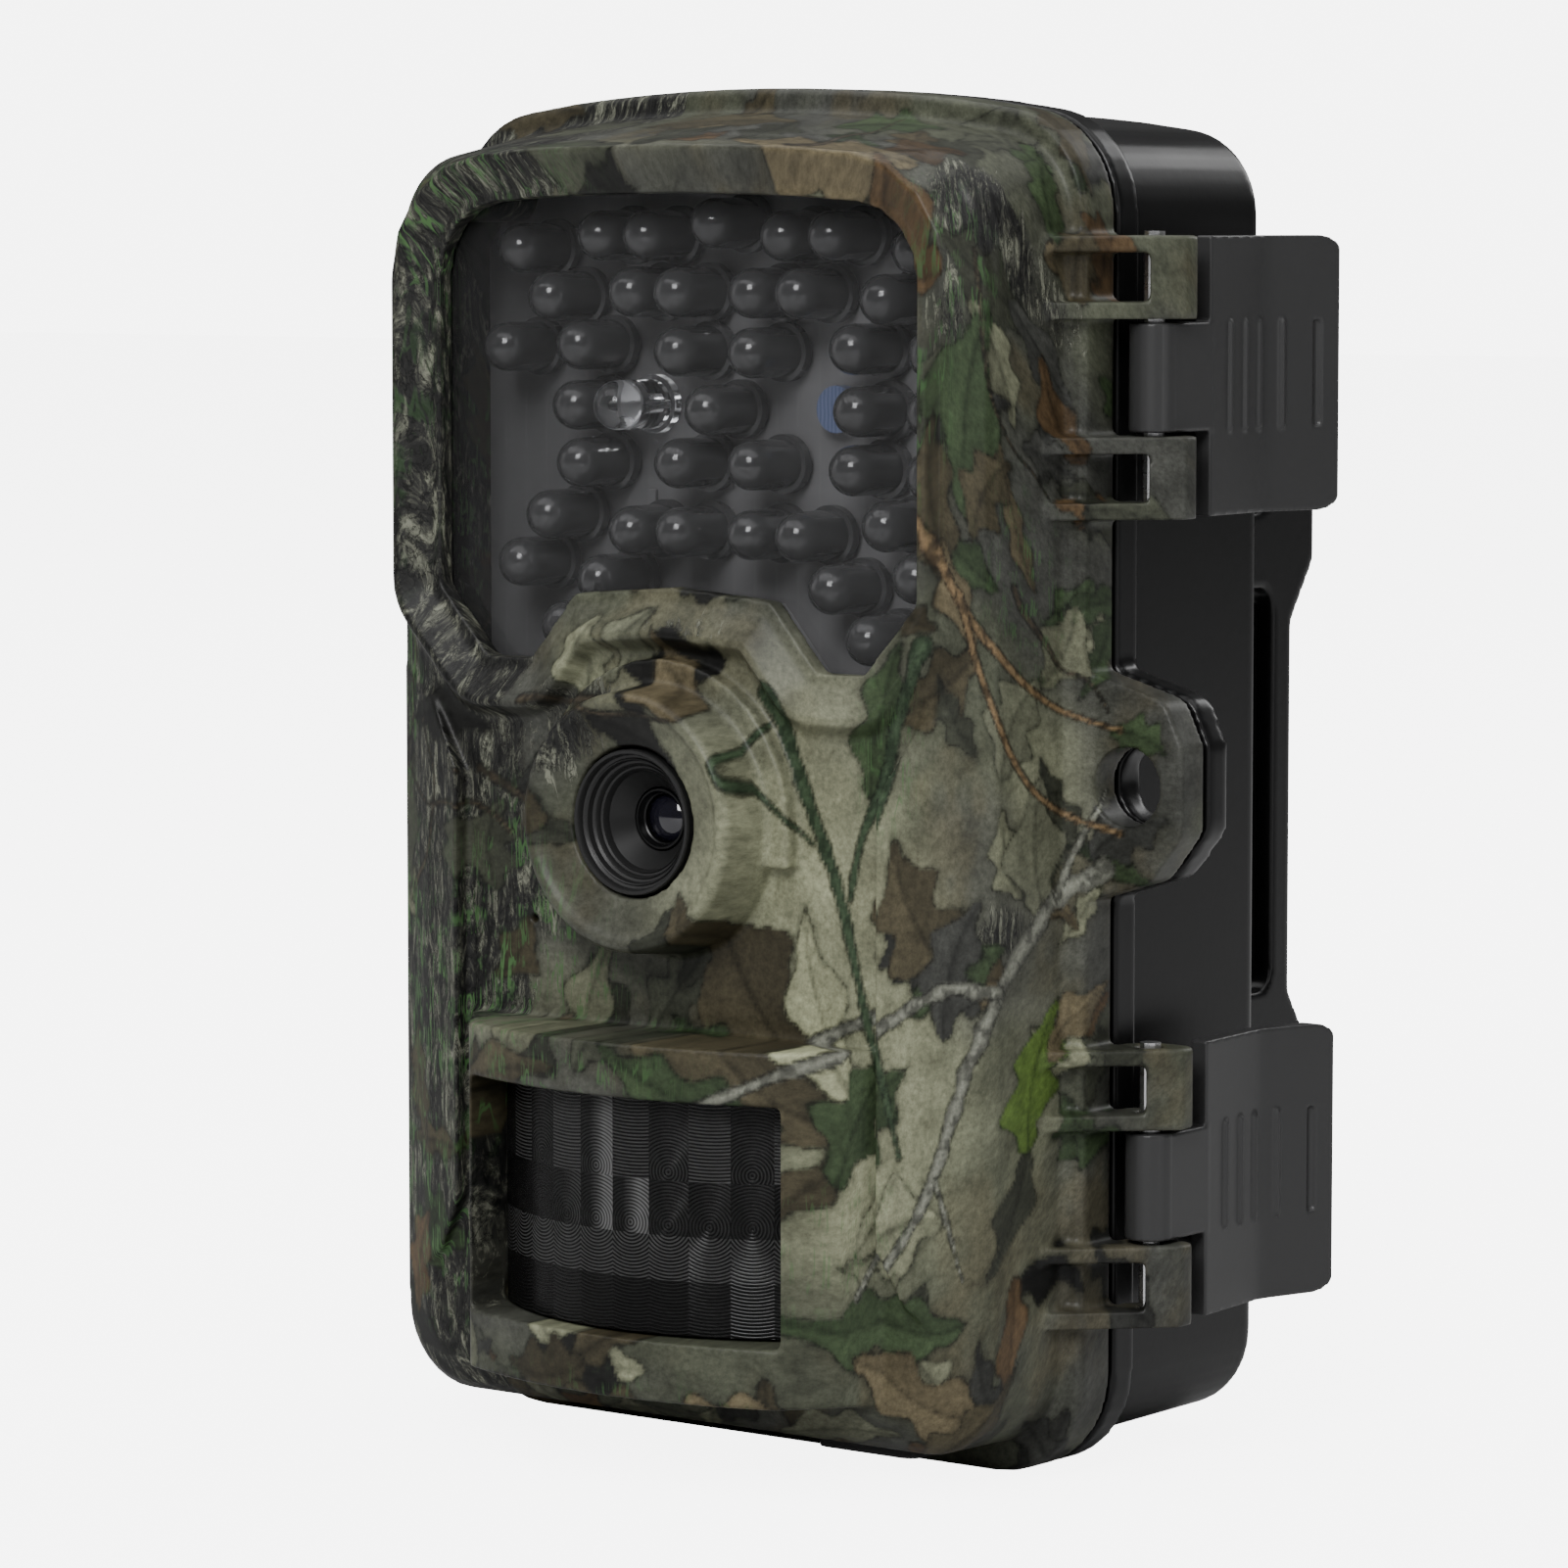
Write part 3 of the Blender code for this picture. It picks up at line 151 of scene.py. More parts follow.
def bump(tree, height, strength, distance):
    node = put(tree, "Bump", {"Height": height, "Strength": strength,
                                        "Distance": distance * MM})
    return node.outputs[0]


def new_material(name, roughness=0.5, metallic=0.0, **fixed):
    material = bpy.data.materials.new(name)
    material.use_nodes = True
    shader = material.node_tree.nodes["Principled BSDF"]
    shader.inputs["Roughness"].default_value = roughness
    shader.inputs["Metallic"].default_value = metallic
    for key, value in fixed.items():
        shader.inputs[key.replace("_", " ")].default_value = value
    return material, material.node_tree, shader


def painted(tree, name, output="Fac"):
    return put(tree, "Attribute", attribute_name=name).outputs[output]


def object_place(tree):
    return put(tree, "TexCoord").outputs["Object"]


# --- Plain materials -------------------------------------------------------------------------

def moulded(name, dark, light, roughness, grain=0.02, spark=900.0, coat=0.0, shine=0.35):
    """Moulded plastic: faint flow marks in the colour, a spark-eroded grain in the surface."""
    material, tree, shader = new_material(name, roughness)
    place = object_place(tree)
    flow = noise(tree, place, 45.0, 4.0, 0.55)
    fine = noise(tree, place, spark, 2.0, 0.6)
    tree.links.new(mix(tree, flow, dark, light), shader.inputs["Base Color"])
    tree.links.new(spread(tree, flow, roughness - 0.06, roughness + 0.07), shader.inputs["Roughness"])
    if grain:
        tree.links.new(bump(tree, fine, 0.35, grain), shader.inputs["Normal"])
    shader.inputs["Coat Weight"].default_value = coat
    shader.inputs["Specular IOR Level"].default_value = shine
    return material


def metal(name, dark, light, roughness):
    """Bare metal: blotches in the colour, fine level scratches in the surface."""
    material, tree, shader = new_material(name, roughness, 1.0)
    place = stretched(tree, object_place(tree), (1.0, 1.0, 12.0))
    scratches = noise(tree, place, 260.0, 5.0, 0.65)
    blotches = noise(tree, place, 30.0, 2.0)
    tree.links.new(mix(tree, blotches, dark, light), shader.inputs["Base Color"])
    tree.links.new(spread(tree, scratches, roughness - 0.08, roughness + 0.14),
                   shader.inputs["Roughness"])
    tree.links.new(bump(tree, scratches, 0.25, 0.02), shader.inputs["Normal"])
    return material


def circuit_board(name, dark, light, left=1.0, right=1.0):
    """Solder mask over copper: tracks show as slightly raised, lighter lanes. left and right scale the
    colour at the board's two ends, which paints shade where a scale is below 1 and light where it is
    above 1."""
    material, tree, shader = new_material(name, 0.42)
    place = object_place(tree)
    lanes = put(tree, "TexBrick", {"Vector": place, "Scale": 190.0,
                                             "Mortar Size": 0.03}).outputs["Fac"]
    patch = noise(tree, place, 60.0, 3.0)
    shade = calc(tree, "MULTIPLY", lanes, patch)
    across = put(tree, "SeparateXYZ", {0: place}).outputs[0]
    # Painted shade and light across the board, from its left end to its right end.
    rightward = calc(tree, "ADD", calc(tree, "MULTIPLY", across, 15.0), 0.5)
    side_shade = mix(tree, rightward, neutral(left), neutral(right))
    tree.links.new(mix(tree, 1.0, mix(tree, shade, dark, light), side_shade, "MULTIPLY"),
                   shader.inputs["Base Color"])
    tree.links.new(bump(tree, shade, 0.3, 0.04), shader.inputs["Normal"])
    return material


def glass(name, colour, roughness, ior):
    material, tree, shader = new_material(name, roughness, Transmission_Weight=1.0, IOR=ior)
    haze = noise(tree, object_place(tree), 120.0, 3.0)
    tint = [channel * 0.94 for channel in colour]
    tree.links.new(mix(tree, haze, colour, tint), shader.inputs["Base Color"])
    return material


def smoked_glass():
    """Dark see-through sheet: most of the light passes straight on, a faint haze scatters, the skin
    reflects."""
    material = bpy.data.materials.new("smoked_sheet")
    material.use_nodes = True
    tree = material.node_tree
    tree.nodes.clear()
    smear = noise(tree, object_place(tree), 35.0, 3.0)
    clear = put(tree, "BsdfTransparent",
                {"Color": mix(tree, smear, (0.83, 0.83, 0.835), (0.86, 0.86, 0.865))})
    skin = put(tree, "BsdfGlossy", {"Color": (*neutral(0.9), 1.0),
                                              "Roughness": spread(tree, smear, 0.02, 0.05)})
    haze = put(tree, "BsdfDiffuse", {"Color": (*neutral(0.5), 1.0)})
    veiled = put(tree, "MixShader", {0: spread(tree, smear, 0.014, 0.020),
                                               1: clear.outputs[0], 2: haze.outputs[0]})
    rim = put(tree, "Fresnel", {"IOR": 1.33}).outputs[0]
    outside = calc(tree, "SUBTRACT", 1.0, put(tree, "NewGeometry").outputs["Backfacing"])
    share = calc(tree, "MULTIPLY", rim, outside, 0.8)
    both = put(tree, "MixShader", {0: share, 1: veiled.outputs[0], 2: skin.outputs[0]})
    put(tree, "OutputMaterial", {"Surface": both.outputs[0]})
    return material


def cell_sleeve():
    """Printed shrink sleeve of a battery: green below, a pale band, black above."""
    material, tree, shader = new_material("cell_sleeve", 0.3)
    height = put(tree, "SeparateXYZ", {0: object_place(tree)}).outputs[2]
    band = ramp(tree, calc(tree, "MULTIPLY", height, 14.0),
                [(0.0, (0.02, 0.10, 0.05)), (0.28, (0.02, 0.10, 0.05)), (0.3, (0.55, 0.56, 0.5)),
                 (0.36, neutral(0.02))])
    tree.links.new(band, shader.inputs["Base Color"])
    return material


def light_sensitive():
    """A photo cell's face: a serpentine track on a bluish disc."""
    material, tree, shader = new_material("photo_cell", 0.3, Coat_Weight=0.6)
    waves = put(tree, "TexWave", {"Vector": object_place(tree), "Scale": 700.0,
                                            "Distortion": 1.5}).outputs["Fac"]
    tree.links.new(ramp(tree, waves, [(0.35, (0.10, 0.13, 0.24)), (0.65, (0.15, 0.19, 0.33))]),
                   shader.inputs["Base Color"])
    return material


# --- The woodland film -----------------------------------------------------------------------

def bark_layer(tree, film, share):
    """Cracked bark plates: their colour, and where they show for a painted share of bark."""
    plates = noise(tree, stretched(tree, film, (1.0, 0.24, 1.0), 14.0), 0.75, 9.0, 0.76, 1.1)
    colour = ramp(tree, plates, [(0.38, neutral(0.006)), (0.49, (0.017, 0.017, 0.016)),
                                 (0.55, (0.055, 0.056, 0.045)), (0.63, (0.17, 0.175, 0.135))])
    cracks = noise(tree, stretched(tree, film, (1.0, 0.35, 1.0), -20.0), 1.5, 5.0, 0.6, 0.6)
    crack_mask = ramp(tree, off_middle(tree, cracks), [(0.0, neutral(0.12)), (0.035, neutral(1.0))])
    torn = calc(tree, "ADD", share, calc(tree, "MULTIPLY", calc(tree, "SUBTRACT", plates, 0.5), 1.3))
    cover = ramp(tree, torn, [(0.44, neutral(0.0)), (0.54, neutral(1.0))])
    return mix(tree, 1.0, colour, crack_mask, "MULTIPLY"), cover


def grass_layer(tree, film, share):
    """Where blades of grass show: thin strands in three directions, broken up, in painted tufts."""
    blades = 0.0
    for turn, scale in ((22.0, 0.62), (-24.0, 0.7), (58.0, 0.66)):
        strands = noise(tree, stretched(tree, film, (1.0, 0.10, 1.0), turn), scale, 2.0, 0.5, 0.5)
        blade = ramp(tree, off_middle(tree, strands), [(0.0, neutral(1.0)), (0.008, neutral(0.9)),
                                                       (0.015, neutral(0.0))])
        blades = calc(tree, "MAXIMUM", blades, blade)
    broken = ramp(tree, noise(tree, film, 0.45, 3.0), [(0.46, neutral(0.0)), (0.56, neutral(1.0))])
    return calc(tree, "MULTIPLY", blades, broken, share)


def woodland_film():
    """Printed film under satin lacquer. Six attributes carry what is painted on the mesh: film is the
    film's own place in millimetres, ground its soft colours, bark and tuft how much bark and how much
    grass, print the leaves and twigs, rim how far the nearest printed outline is."""
    material, tree, shader = new_material("woodland_film", 0.42, Coat_Weight=0.04, Coat_Roughness=0.25,
                                          Specular_IOR_Level=0.17)
    film, ground = painted(tree, "film", "Vector"), painted(tree, "ground", "Color")
    bark, tuft, rim = painted(tree, "bark"), painted(tree, "tuft"), painted(tree, "rim")
    printed, covered = painted(tree, "print", "Color"), painted(tree, "print", "Alpha")

    grain = noise(tree, film, 1.6, 6.0, 0.72)
    soft = mix(tree, spread(tree, grain, -0.3, 1.3), (0.42, 0.42, 0.40), (1.62, 1.62, 1.6))
    mottle = noise(tree, film, 0.22, 5.0, 0.62)
    ground = mix(tree, 1.0, ground, soft, "MULTIPLY")
    ground = mix(tree, 1.0, ground, mix(tree, spread(tree, mottle, -0.6, 1.6), (0.58, 0.58, 0.56),
                                        (1.42, 1.42, 1.40)), "MULTIPLY")

    bark_colour, bark_cover = bark_layer(tree, film, bark)
    colour = mix(tree, bark_cover, ground, bark_colour)
    colour = mix(tree, covered, colour, mix(tree, 1.0, printed, soft, "MULTIPLY"))
    rough_rim = calc(tree, "ADD", rim, calc(tree, "MULTIPLY", calc(tree, "SUBTRACT", grain, 0.5), 0.5))
    outline = ramp(tree, rough_rim, [(0.02, (0.44, 0.44, 0.43)), (0.22, neutral(1.0))])
    colour = mix(tree, 1.0, colour, outline, "MULTIPLY")
    green = mix(tree, mottle, (0.030, 0.085, 0.026), (0.075, 0.15, 0.055))
    colour = mix(tree, grass_layer(tree, film, tuft), colour, green)
    tree.links.new(colour, shader.inputs["Base Color"])
    tree.links.new(spread(tree, grain, 0.36, 0.52), shader.inputs["Roughness"])
    skin = noise(tree, film, 5.0, 2.0, 0.5)
    tree.links.new(bump(tree, skin, 0.2, 0.02), shader.inputs["Normal"])
    return material


def lattice_noise(u, v, seed):
    """Smooth value noise on a unit lattice, from 0 to 1."""
    cell_u, cell_v = np.floor(u), np.floor(v)
    fade_u, fade_v = u - cell_u, v - cell_v
    fade_u, fade_v = fade_u * fade_u * (3 - 2 * fade_u), fade_v * fade_v * (3 - 2 * fade_v)

    def corner(step_u, step_v):
        value = np.sin((cell_u + step_u) * 127.1 + (cell_v + step_v) * 311.7 + seed * 74.7) * 43758.5
        return value - np.floor(value)

    low = corner(0, 0) * (1 - fade_u) + corner(1, 0) * fade_u
    high = corner(0, 1) * (1 - fade_u) + corner(1, 1) * fade_u
    return low * (1 - fade_v) + high * fade_v


def layered_noise(u, v, seed, octaves=4):
    """Several octaves of lattice noise, from 0 to 1."""
    total, weight, span = 0.0, 1.0, 0.0
    for octave in range(octaves):
        total = total + weight * lattice_noise(u * 2 ** octave, v * 2 ** octave, seed + octave)
        span += weight
        weight *= 0.55
    return total / span


def away(u, v, middle_u, middle_v, wide, high):
    """Square of the distance from a patch's middle, 1 on its oval outline."""
    return ((u - middle_u) / wide) ** 2 + ((v - middle_v) / high) ** 2


def ease(value, low, high):
    """A smooth step from 0 at low to 1 at high."""
    share = np.clip((value - low) / (high - low), 0.0, 1.0)
    return share * share * (3 - 2 * share)


class Canvas:
    """Colours painted on a mesh's vertices and placed by u, across the film, and v, up it. Both run
    on round the sides, as the film wraps the housing."""

    FRONT_Y, MOST_PROUD = -19.0, 3.0
    WRAP_U, WRAP_V, MIDDLE_V = 22.0, 45.0, 66.0
    FAR = 3.0
    LEAF_SHADOW, LEAF_SHADE, LEAF_EDGE, LEAF_VEINS = 0.42, 0.6, 0.45, 0.35

    def __init__(self, points):
        x, y, z = points[:, 0], points[:, 1] - SEAM_Y, points[:, 2]
        back = np.maximum(y - self.FRONT_Y, -self.MOST_PROUD)
        self.u = x + back * np.clip(x / self.WRAP_U, -1.0, 1.0)
        self.v = z + back * np.clip((z - self.MIDDLE_V) / self.WRAP_V, -1.0, 1.0)
        self.depth = y
        self.ground = np.zeros((len(x), 3))
        self.bark = np.zeros(len(x))
        self.tuft = np.zeros(len(x))
        self.rim = np.full(len(x), self.FAR)
        self.print = np.zeros((len(x), 4))

    def near(self, u, v, reach):
        return np.nonzero((np.abs(self.u - u) < reach) & (np.abs(self.v - v) < reach))[0]

    def lay(self, chosen, cover, colour):
        """Lays a colour over what is already printed at the chosen vertices."""
        old = self.print[chosen]
        share = cover[:, None]
        alpha = old[:, 3:] + share * (1.0 - old[:, 3:])
        mixed = (colour * share + old[:, :3] * old[:, 3:] * (1.0 - share)) / np.maximum(alpha, 1e-6)
        self.print[chosen] = np.hstack([mixed, alpha])

    def leaf(self, u, v, angle, length, width, colour, lobes):
        """A curved, lobed leaf with its midrib along angle, a shadow round it and veins in it."""
        chosen = self.near(u, v, length * 1.3 + 3.0)
        turn = math.radians(angle)
        du, dv = self.u[chosen] - u, self.v[chosen] - v
        along = (du * math.cos(turn) + dv * math.sin(turn)) / length + 0.5
        across = -du * math.sin(turn) + dv * math.cos(turn)
        across = across + width * 0.35 * (along - 0.5) ** 2 * 4.0 - width * 0.15
        wobble = layered_noise(du * 0.7, dv * 0.7, u, 3) - 0.5
        bent = np.clip(along, 0.0, 1.0)
        half = width * np.sin(math.pi * bent ** 0.85)
        half = half * (0.80 + 0.24 * np.cos(2 * math.pi * lobes * bent)) + wobble * width * 0.22
        beyond = np.maximum(np.maximum(-along, along - 1.0), 0.0) * length
        inside = np.where(beyond > 0.0, -np.hypot(beyond, across), half - np.abs(across))
        shadow = ease(inside + 0.9, 0.0, 1.0) * self.LEAF_SHADOW
        self.lay(chosen, shadow * (inside < 0.3), np.array(SHADOW))
        cover = ease(inside, -0.12, 0.14)
        tone = 0.72 + 0.75 * (layered_noise(along * 5.0, across * 0.5, u + 3.0) - 0.25)
        tone = tone * np.where(across > 0.0, 1.0, 0.76)
        midrib = np.exp(-(across / 0.30) ** 2) * 0.7
        phase = (along * length - np.abs(across) * 0.8) / 2.1
        ribs = np.exp(-((phase - np.round(phase)) * 4.6) ** 2) * self.LEAF_VEINS
        edge = np.exp(-(inside / 0.30) ** 2) * self.LEAF_EDGE
        tone = tone * (1.0 - self.LEAF_SHADE * np.clip(midrib + ribs * 0.6, 0.0, 1.0)) * (1.0 - edge)
        self.lay(chosen, cover, np.array(colour)[None, :] * tone[:, None])
        self.rim[chosen] = np.where(inside > 0.0, inside, np.minimum(self.rim[chosen], -inside))

    def stroke(self, path, start, end, colour, core, knots):
        """A line through the path's points that tapers from one half width to the other; core lights
        the middle of it and knots make it uneven."""
        path = np.array(path, float)
        for _ in range(3):
            inner = np.empty((2 * len(path) - 2, 2))
            inner[0::2] = path[:-1] * 0.75 + path[1:] * 0.25
            inner[1::2] = path[:-1] * 0.25 + path[1:] * 0.75
            path = np.vstack([path[:1], inner, path[-1:]])
        spans = np.linalg.norm(np.diff(path, axis=0), axis=1)
        middle, half = (path.min(0) + path.max(0)) / 2.0, np.ptp(path, axis=0).max() / 2.0
        chosen = self.near(*middle, half + start * 1.6 + 1.0)
        if not len(chosen):
            return
        nearest, place = np.full(len(chosen), 1e9), np.zeros(len(chosen))
        done = 0.0
        for first, last, span in zip(path, path[1:], spans):
            reach = np.stack([self.u[chosen], self.v[chosen]], 1) - first
            line = (last - first) / max(span, 1e-6)
            along = np.clip(reach @ line, 0.0, span)
            off = reach - along[:, None] * line
            gap = np.hypot(off[:, 0], off[:, 1])
            place = np.where(gap < nearest, (done + along) / spans.sum(), place)
            nearest = np.minimum(gap, nearest)
            done += span
        radius = start + (end - start) * place
        bumps = layered_noise(self.u[chosen] * 0.5, self.v[chosen] * 0.5, 5.0, 2) - 0.5
        radius = radius * (1.0 + knots * bumps)
        cover = ease(radius - nearest, -0.14, 0.14)
        tint = np.repeat(np.array(colour, float)[None, :], len(chosen), 0)
        side = np.exp(-((nearest / np.maximum(radius, 0.05)) / 0.72) ** 2)[:, None]
        speck = layered_noise(self.u[chosen] * 1.3, self.v[chosen] * 1.3, 9.0, 3)[:, None]
        tint = tint + (np.array(core) - tint) * side * (0.25 + 0.75 * ease(speck, 0.36, 0.52))
        self.lay(chosen, cover, tint)
        self.rim[chosen] = np.where(nearest < radius, radius - nearest,
                                    np.minimum(self.rim[chosen], nearest - radius))

    def grass(self, u, v, wide, high, strength):
        share = np.clip(1.6 * np.exp(-away(self.u, self.v, u, v, wide, high)), 0.0, 1.0)
        self.tuft = np.maximum(self.tuft, share * strength)

    def write(self, mesh):
        place = np.stack([self.u, self.v, self.depth * 0.3], 1).astype(np.float32)
        layer = mesh.attributes.new("film", "FLOAT_VECTOR", "POINT")
        layer.data.foreach_set("vector", place.ravel())
        for name, values in (("bark", self.bark), ("tuft", self.tuft),
                             ("rim", np.clip(self.rim, 0.0, self.FAR))):
            layer = mesh.attributes.new(name, "FLOAT", "POINT")
            layer.data.foreach_set("value", values.astype(np.float32))
        opaque = np.hstack([self.ground, np.ones((len(self.ground), 1))])
        for name, values in (("ground", opaque), ("print", self.print)):
            layer = mesh.color_attributes.new(name, "FLOAT_COLOR", "POINT")
            layer.data.foreach_set("color", values.astype(np.float32).ravel())


OLIVE, PALE_OLIVE, CREAM = (0.052, 0.056, 0.040), (0.205, 0.212, 0.142), (0.30, 0.31, 0.20)
BROWN, TAN, RUST = (0.058, 0.050, 0.030), (0.115, 0.095, 0.056), (0.085, 0.054, 0.027)
INK, SLATE, LICHEN = (0.014, 0.014, 0.013), (0.040, 0.041, 0.037), (0.17, 0.175, 0.145)
FRESH, MOSS, DRY = (0.085, 0.14, 0.030), (0.040, 0.060, 0.029), (0.125, 0.130, 0.090)
SHADOW = (0.010, 0.011, 0.008)


def paint_ground(canvas):
    u, v = canvas.u, canvas.v
    drift = layered_noise(u * 0.055, v * 0.055, 2.0, 4)
    cloud = layered_noise(u * 0.12 + 9.0, v * 0.09, 6.0, 4)
    canvas.ground[:] = SLATE
    share = ease(drift, 0.35, 0.65)[:, None]
    canvas.ground += (np.array(OLIVE) - canvas.ground) * share
    brown = ease(cloud, 0.52, 0.75)[:, None] * 0.6
    canvas.ground += (np.array(BROWN) - canvas.ground) * brown
    pools = ((15, 60, 13, 17, 1), (-5, 78, 10, 5.5, 0.35), (24, 48, 9, 14, 0.6), (22, 30, 7, 8, 0.9),
             (47, 66, 7, 10, 0.8), (-14, 44, 9, 5, 0.45), (46, 30, 6, 22, 0.35), (20, 74, 8, 5, 0.35),
             (-2, 126.5, 18, 2.6, 0.25), (30, 38, 8, 16, 0.5))
    for *oval, strength in pools:
        light = (np.exp(-away(u, v, *oval) * 1.2) * strength * (0.65 + 0.7 * drift))[:, None]
        canvas.ground += (np.array(PALE_OLIVE) - canvas.ground) * np.clip(light, 0.0, 1.0)


def paint_bark(canvas):
    u, v = canvas.u, canvas.v
    edge = layered_noise(u * 0.10, v * 0.05, 11.0) * 14.0
    left = ease(-u, 19.0 - edge, 27.0 - edge)
    canvas.bark = left * 0.92
    patches = ((38, 122, 9, 8, 1), (-9, 71, 9, 6, 0.75), (-17, 56, 8, 9, 0.75), (2, 80, 7, 4, 0.5),
               (40, 52, 8, 5, 0.65), (8, 6, 14, 4, 0.5), (33, 110, 4, 7, 0.6), (47, 122, 9, 7, 0.55),
               (-20, 124, 14, 4, 0.7))
    for *oval, strength in patches:
        canvas.bark = np.maximum(canvas.bark, np.exp(-away(u, v, *oval)) * strength)


def scatter_leaves(canvas):
    """Litter under the larger leaves: dense on the right, the top and the sides, none on the panel
    beside the lens."""
    palette = (BROWN, TAN, RUST, OLIVE, MOSS, INK, SLATE, OLIVE, BROWN, PALE_OLIVE)
    leaf_count, panel, spared = 230, (15.0, 60.0, 13.0, 19.0), 0.75
    for _ in range(leaf_count):
        u, v = DRAWS.uniform(-58.0, 60.0), DRAWS.uniform(-16.0, 146.0)
        bare = away(u, v, *panel) < 1.0
        barky = -40.0 < u < -12.0 and v > 20.0
        if bare or (barky and DRAWS.random() < spared):
            continue
        colour = np.array(DRAWS.choice(palette)) * DRAWS.uniform(0.5, 1.1)
        canvas.leaf(u, v, DRAWS.uniform(0.0, 360.0), DRAWS.uniform(7.0, 15.0), DRAWS.uniform(1.8, 4.4),
                    tuple(colour), DRAWS.choice((2, 3, 3)))


def paint_leaves(canvas):
    leaves = ((18, 126, 172, 23, 5.4, TAN, 3), (27, 119, 118, 15, 4.6, RUST, 2),
              (35.5, 103, 82, 22, 5.2, MOSS, 2), (38, 96, 60, 12, 3.4, BROWN, 3),
              (31, 93, 96, 17, 3.2, BROWN, 3), (33.5, 85, 120, 10, 2.6, TAN, 2),
              (12, 45, 128, 27, 8.6, BROWN, 3), (18, 46.5, 108, 17, 3.8, CREAM, 2),
              (29.5, 55, 122, 16, 5.4, BROWN, 3), (34, 50, 70, 14, 4.2, SLATE, 3),
              (42.5, 74, 60, 13, 4.4, DRY, 3), (47, 59, 84, 15, 4.4, OLIVE, 2),
              (46, 34, 72, 16, 5, FRESH, 3), (52, 38, 30, 11, 3.2, TAN, 2),
              (23, 37, 48, 13, 4.6, MOSS, 3), (27, 26, 8, 11, 4.8, PALE_OLIVE, 2),
              (25, 17, 166, 21, 4.2, MOSS, 3), (30, 9, 150, 22, 4.2, TAN, 3),
              (12, 9, 12, 14, 3.4, TAN, 3), (0, 9.5, 176, 15, 3.4, BROWN, 3),
              (-14, 10, 20, 12, 2.8, OLIVE, 2), (20, 3, 12, 16, 3.8, DRY, 3),
              (36, 2, 34, 16, 4.2, BROWN, 3), (8, 39.5, 158, 18, 3.4, MOSS, 3),
              (-12, 39.5, 14, 15, 2.6, BROWN, 2), (2, 76, 130, 11, 2.4, TAN, 2),
              (-4, 79, 60, 9, 2.6, DRY, 2), (-9.5, 77, 74, 10, 2.8, PALE_OLIVE, 3),
              (-19, 13, 90, 27, 4.4, DRY, 2), (46, 60, 92, 17, 5, DRY, 2), (25, 73, 78, 16, 3, MOSS, 3),
              (22, 80, 40, 7, 1.8, OLIVE, 2), (-30, 122.5, 20, 12, 2.8, BROWN, 3),
              (-12, 126, 172, 15, 3.2, OLIVE, 2), (-36, 96, 96, 14, 3.4, BROWN, 3),
              (-36, 60, 84, 15, 3.2, OLIVE, 2), (-33, 34, 100, 12, 3, BROWN, 3),
              (-33, 16, 70, 13, 3.2, RUST, 3), (-48, 110, 80, 18, 5, BROWN, 3),
              (-50, 76, 104, 20, 5.4, MOSS, 3), (-47, 45, 76, 18, 5, TAN, 3),
              (-49, 18, 96, 17, 4.8, OLIVE, 3), (0, 138, 6, 24, 5, BROWN, 3),
              (-26, 139, 172, 20, 5, OLIVE, 3), (27, 139, 12, 18, 5, MOSS, 3),
              (0, -8, 176, 22, 4.4, BROWN, 3), (26, -9, 10, 20, 4.6, OLIVE, 3),
              (-24, -8, 168, 20, 4.6, TAN, 3))
    for leaf in leaves:
        canvas.leaf(*leaf)


def wander(start, heading, length):
    """A crooked path from a point, in millimetres."""
    steps, wobble = 12, 0.45
    path = [np.array(start, float)]
    turn = math.radians(heading)
    for _ in range(steps):
        turn += DRAWS.uniform(-wobble, wobble)
        path.append(path[-1] + length / steps * np.array((math.cos(turn), math.sin(turn))))
    return path


def paint_twigs(canvas):
    birch = dict(colour=(0.030, 0.030, 0.026), core=LICHEN, knots=1.0)
    canvas.stroke([(55, 56), (49, 53.5), (44.5, 50), (40, 47), (36.5, 42), (34, 36.5),
                   (31, 29.5), (27.5, 25), (22, 20.5)], 1.55, 0.45, **birch)
    canvas.stroke([(39.5, 46.5), (33, 48.5), (27, 46), (19, 43), (11, 39), (3, 35.5)], 0.85, 0.45,
                  **birch)
    canvas.stroke([(31.5, 30), (33.5, 24), (35, 19.5)], 0.35, 0.15, **birch)
    canvas.stroke([(49, 53.5), (52, 60), (56, 66)], 0.6, 0.3, **birch)
    stalk = dict(colour=(0.012, 0.020, 0.011), core=(0.040, 0.062, 0.034), knots=0.8)
    canvas.stroke([(11.5, 75), (14, 71.5), (16, 66), (19, 60), (21, 54), (23, 46),
                   (25.5, 38), (27, 33)], 1.0, 0.35, **stalk)
    canvas.stroke([(29.5, 80), (27, 74), (26, 68), (22.5, 61.5), (21.5, 56)], 0.95, 0.35, **stalk)
    canvas.stroke([(12, 72), (8.5, 69), (10.5, 66), (17, 61)], 0.4, 0.2, **stalk)
    branch = dict(colour=(0.018, 0.013, 0.008), core=(0.17, 0.115, 0.060), knots=0.5)
    canvas.stroke([(29, 92), (32, 86), (37, 82), (43, 78.5), (49, 76), (57, 74)], 0.75, 0.35, **branch)
    canvas.stroke([(34, 85), (38, 76), (43, 68), (50, 63), (57, 61)], 0.55, 0.35, **branch)
    starts = (((-38, 112), -60), ((-36, 84), -80), ((-24, 66), -20), ((-35, 52), 60), ((-20, 60), 150),
              ((-34, 30), 80), ((-16, 73), -15), ((-30, 124), -12), ((28, 114), -70), ((36, 118), -100),
              ((-22, 12), 10), ((42, 88), -70), ((-50, 90), -80), ((-48, 60), -95), ((14, 126), 20))
    for start, heading in starts:
        canvas.stroke(wander(start, heading, DRAWS.uniform(12.0, 24.0)), DRAWS.uniform(0.3, 0.6), 0.12,
                      (0.010, 0.009, 0.007), core=(0.045, 0.036, 0.024), knots=0.6)


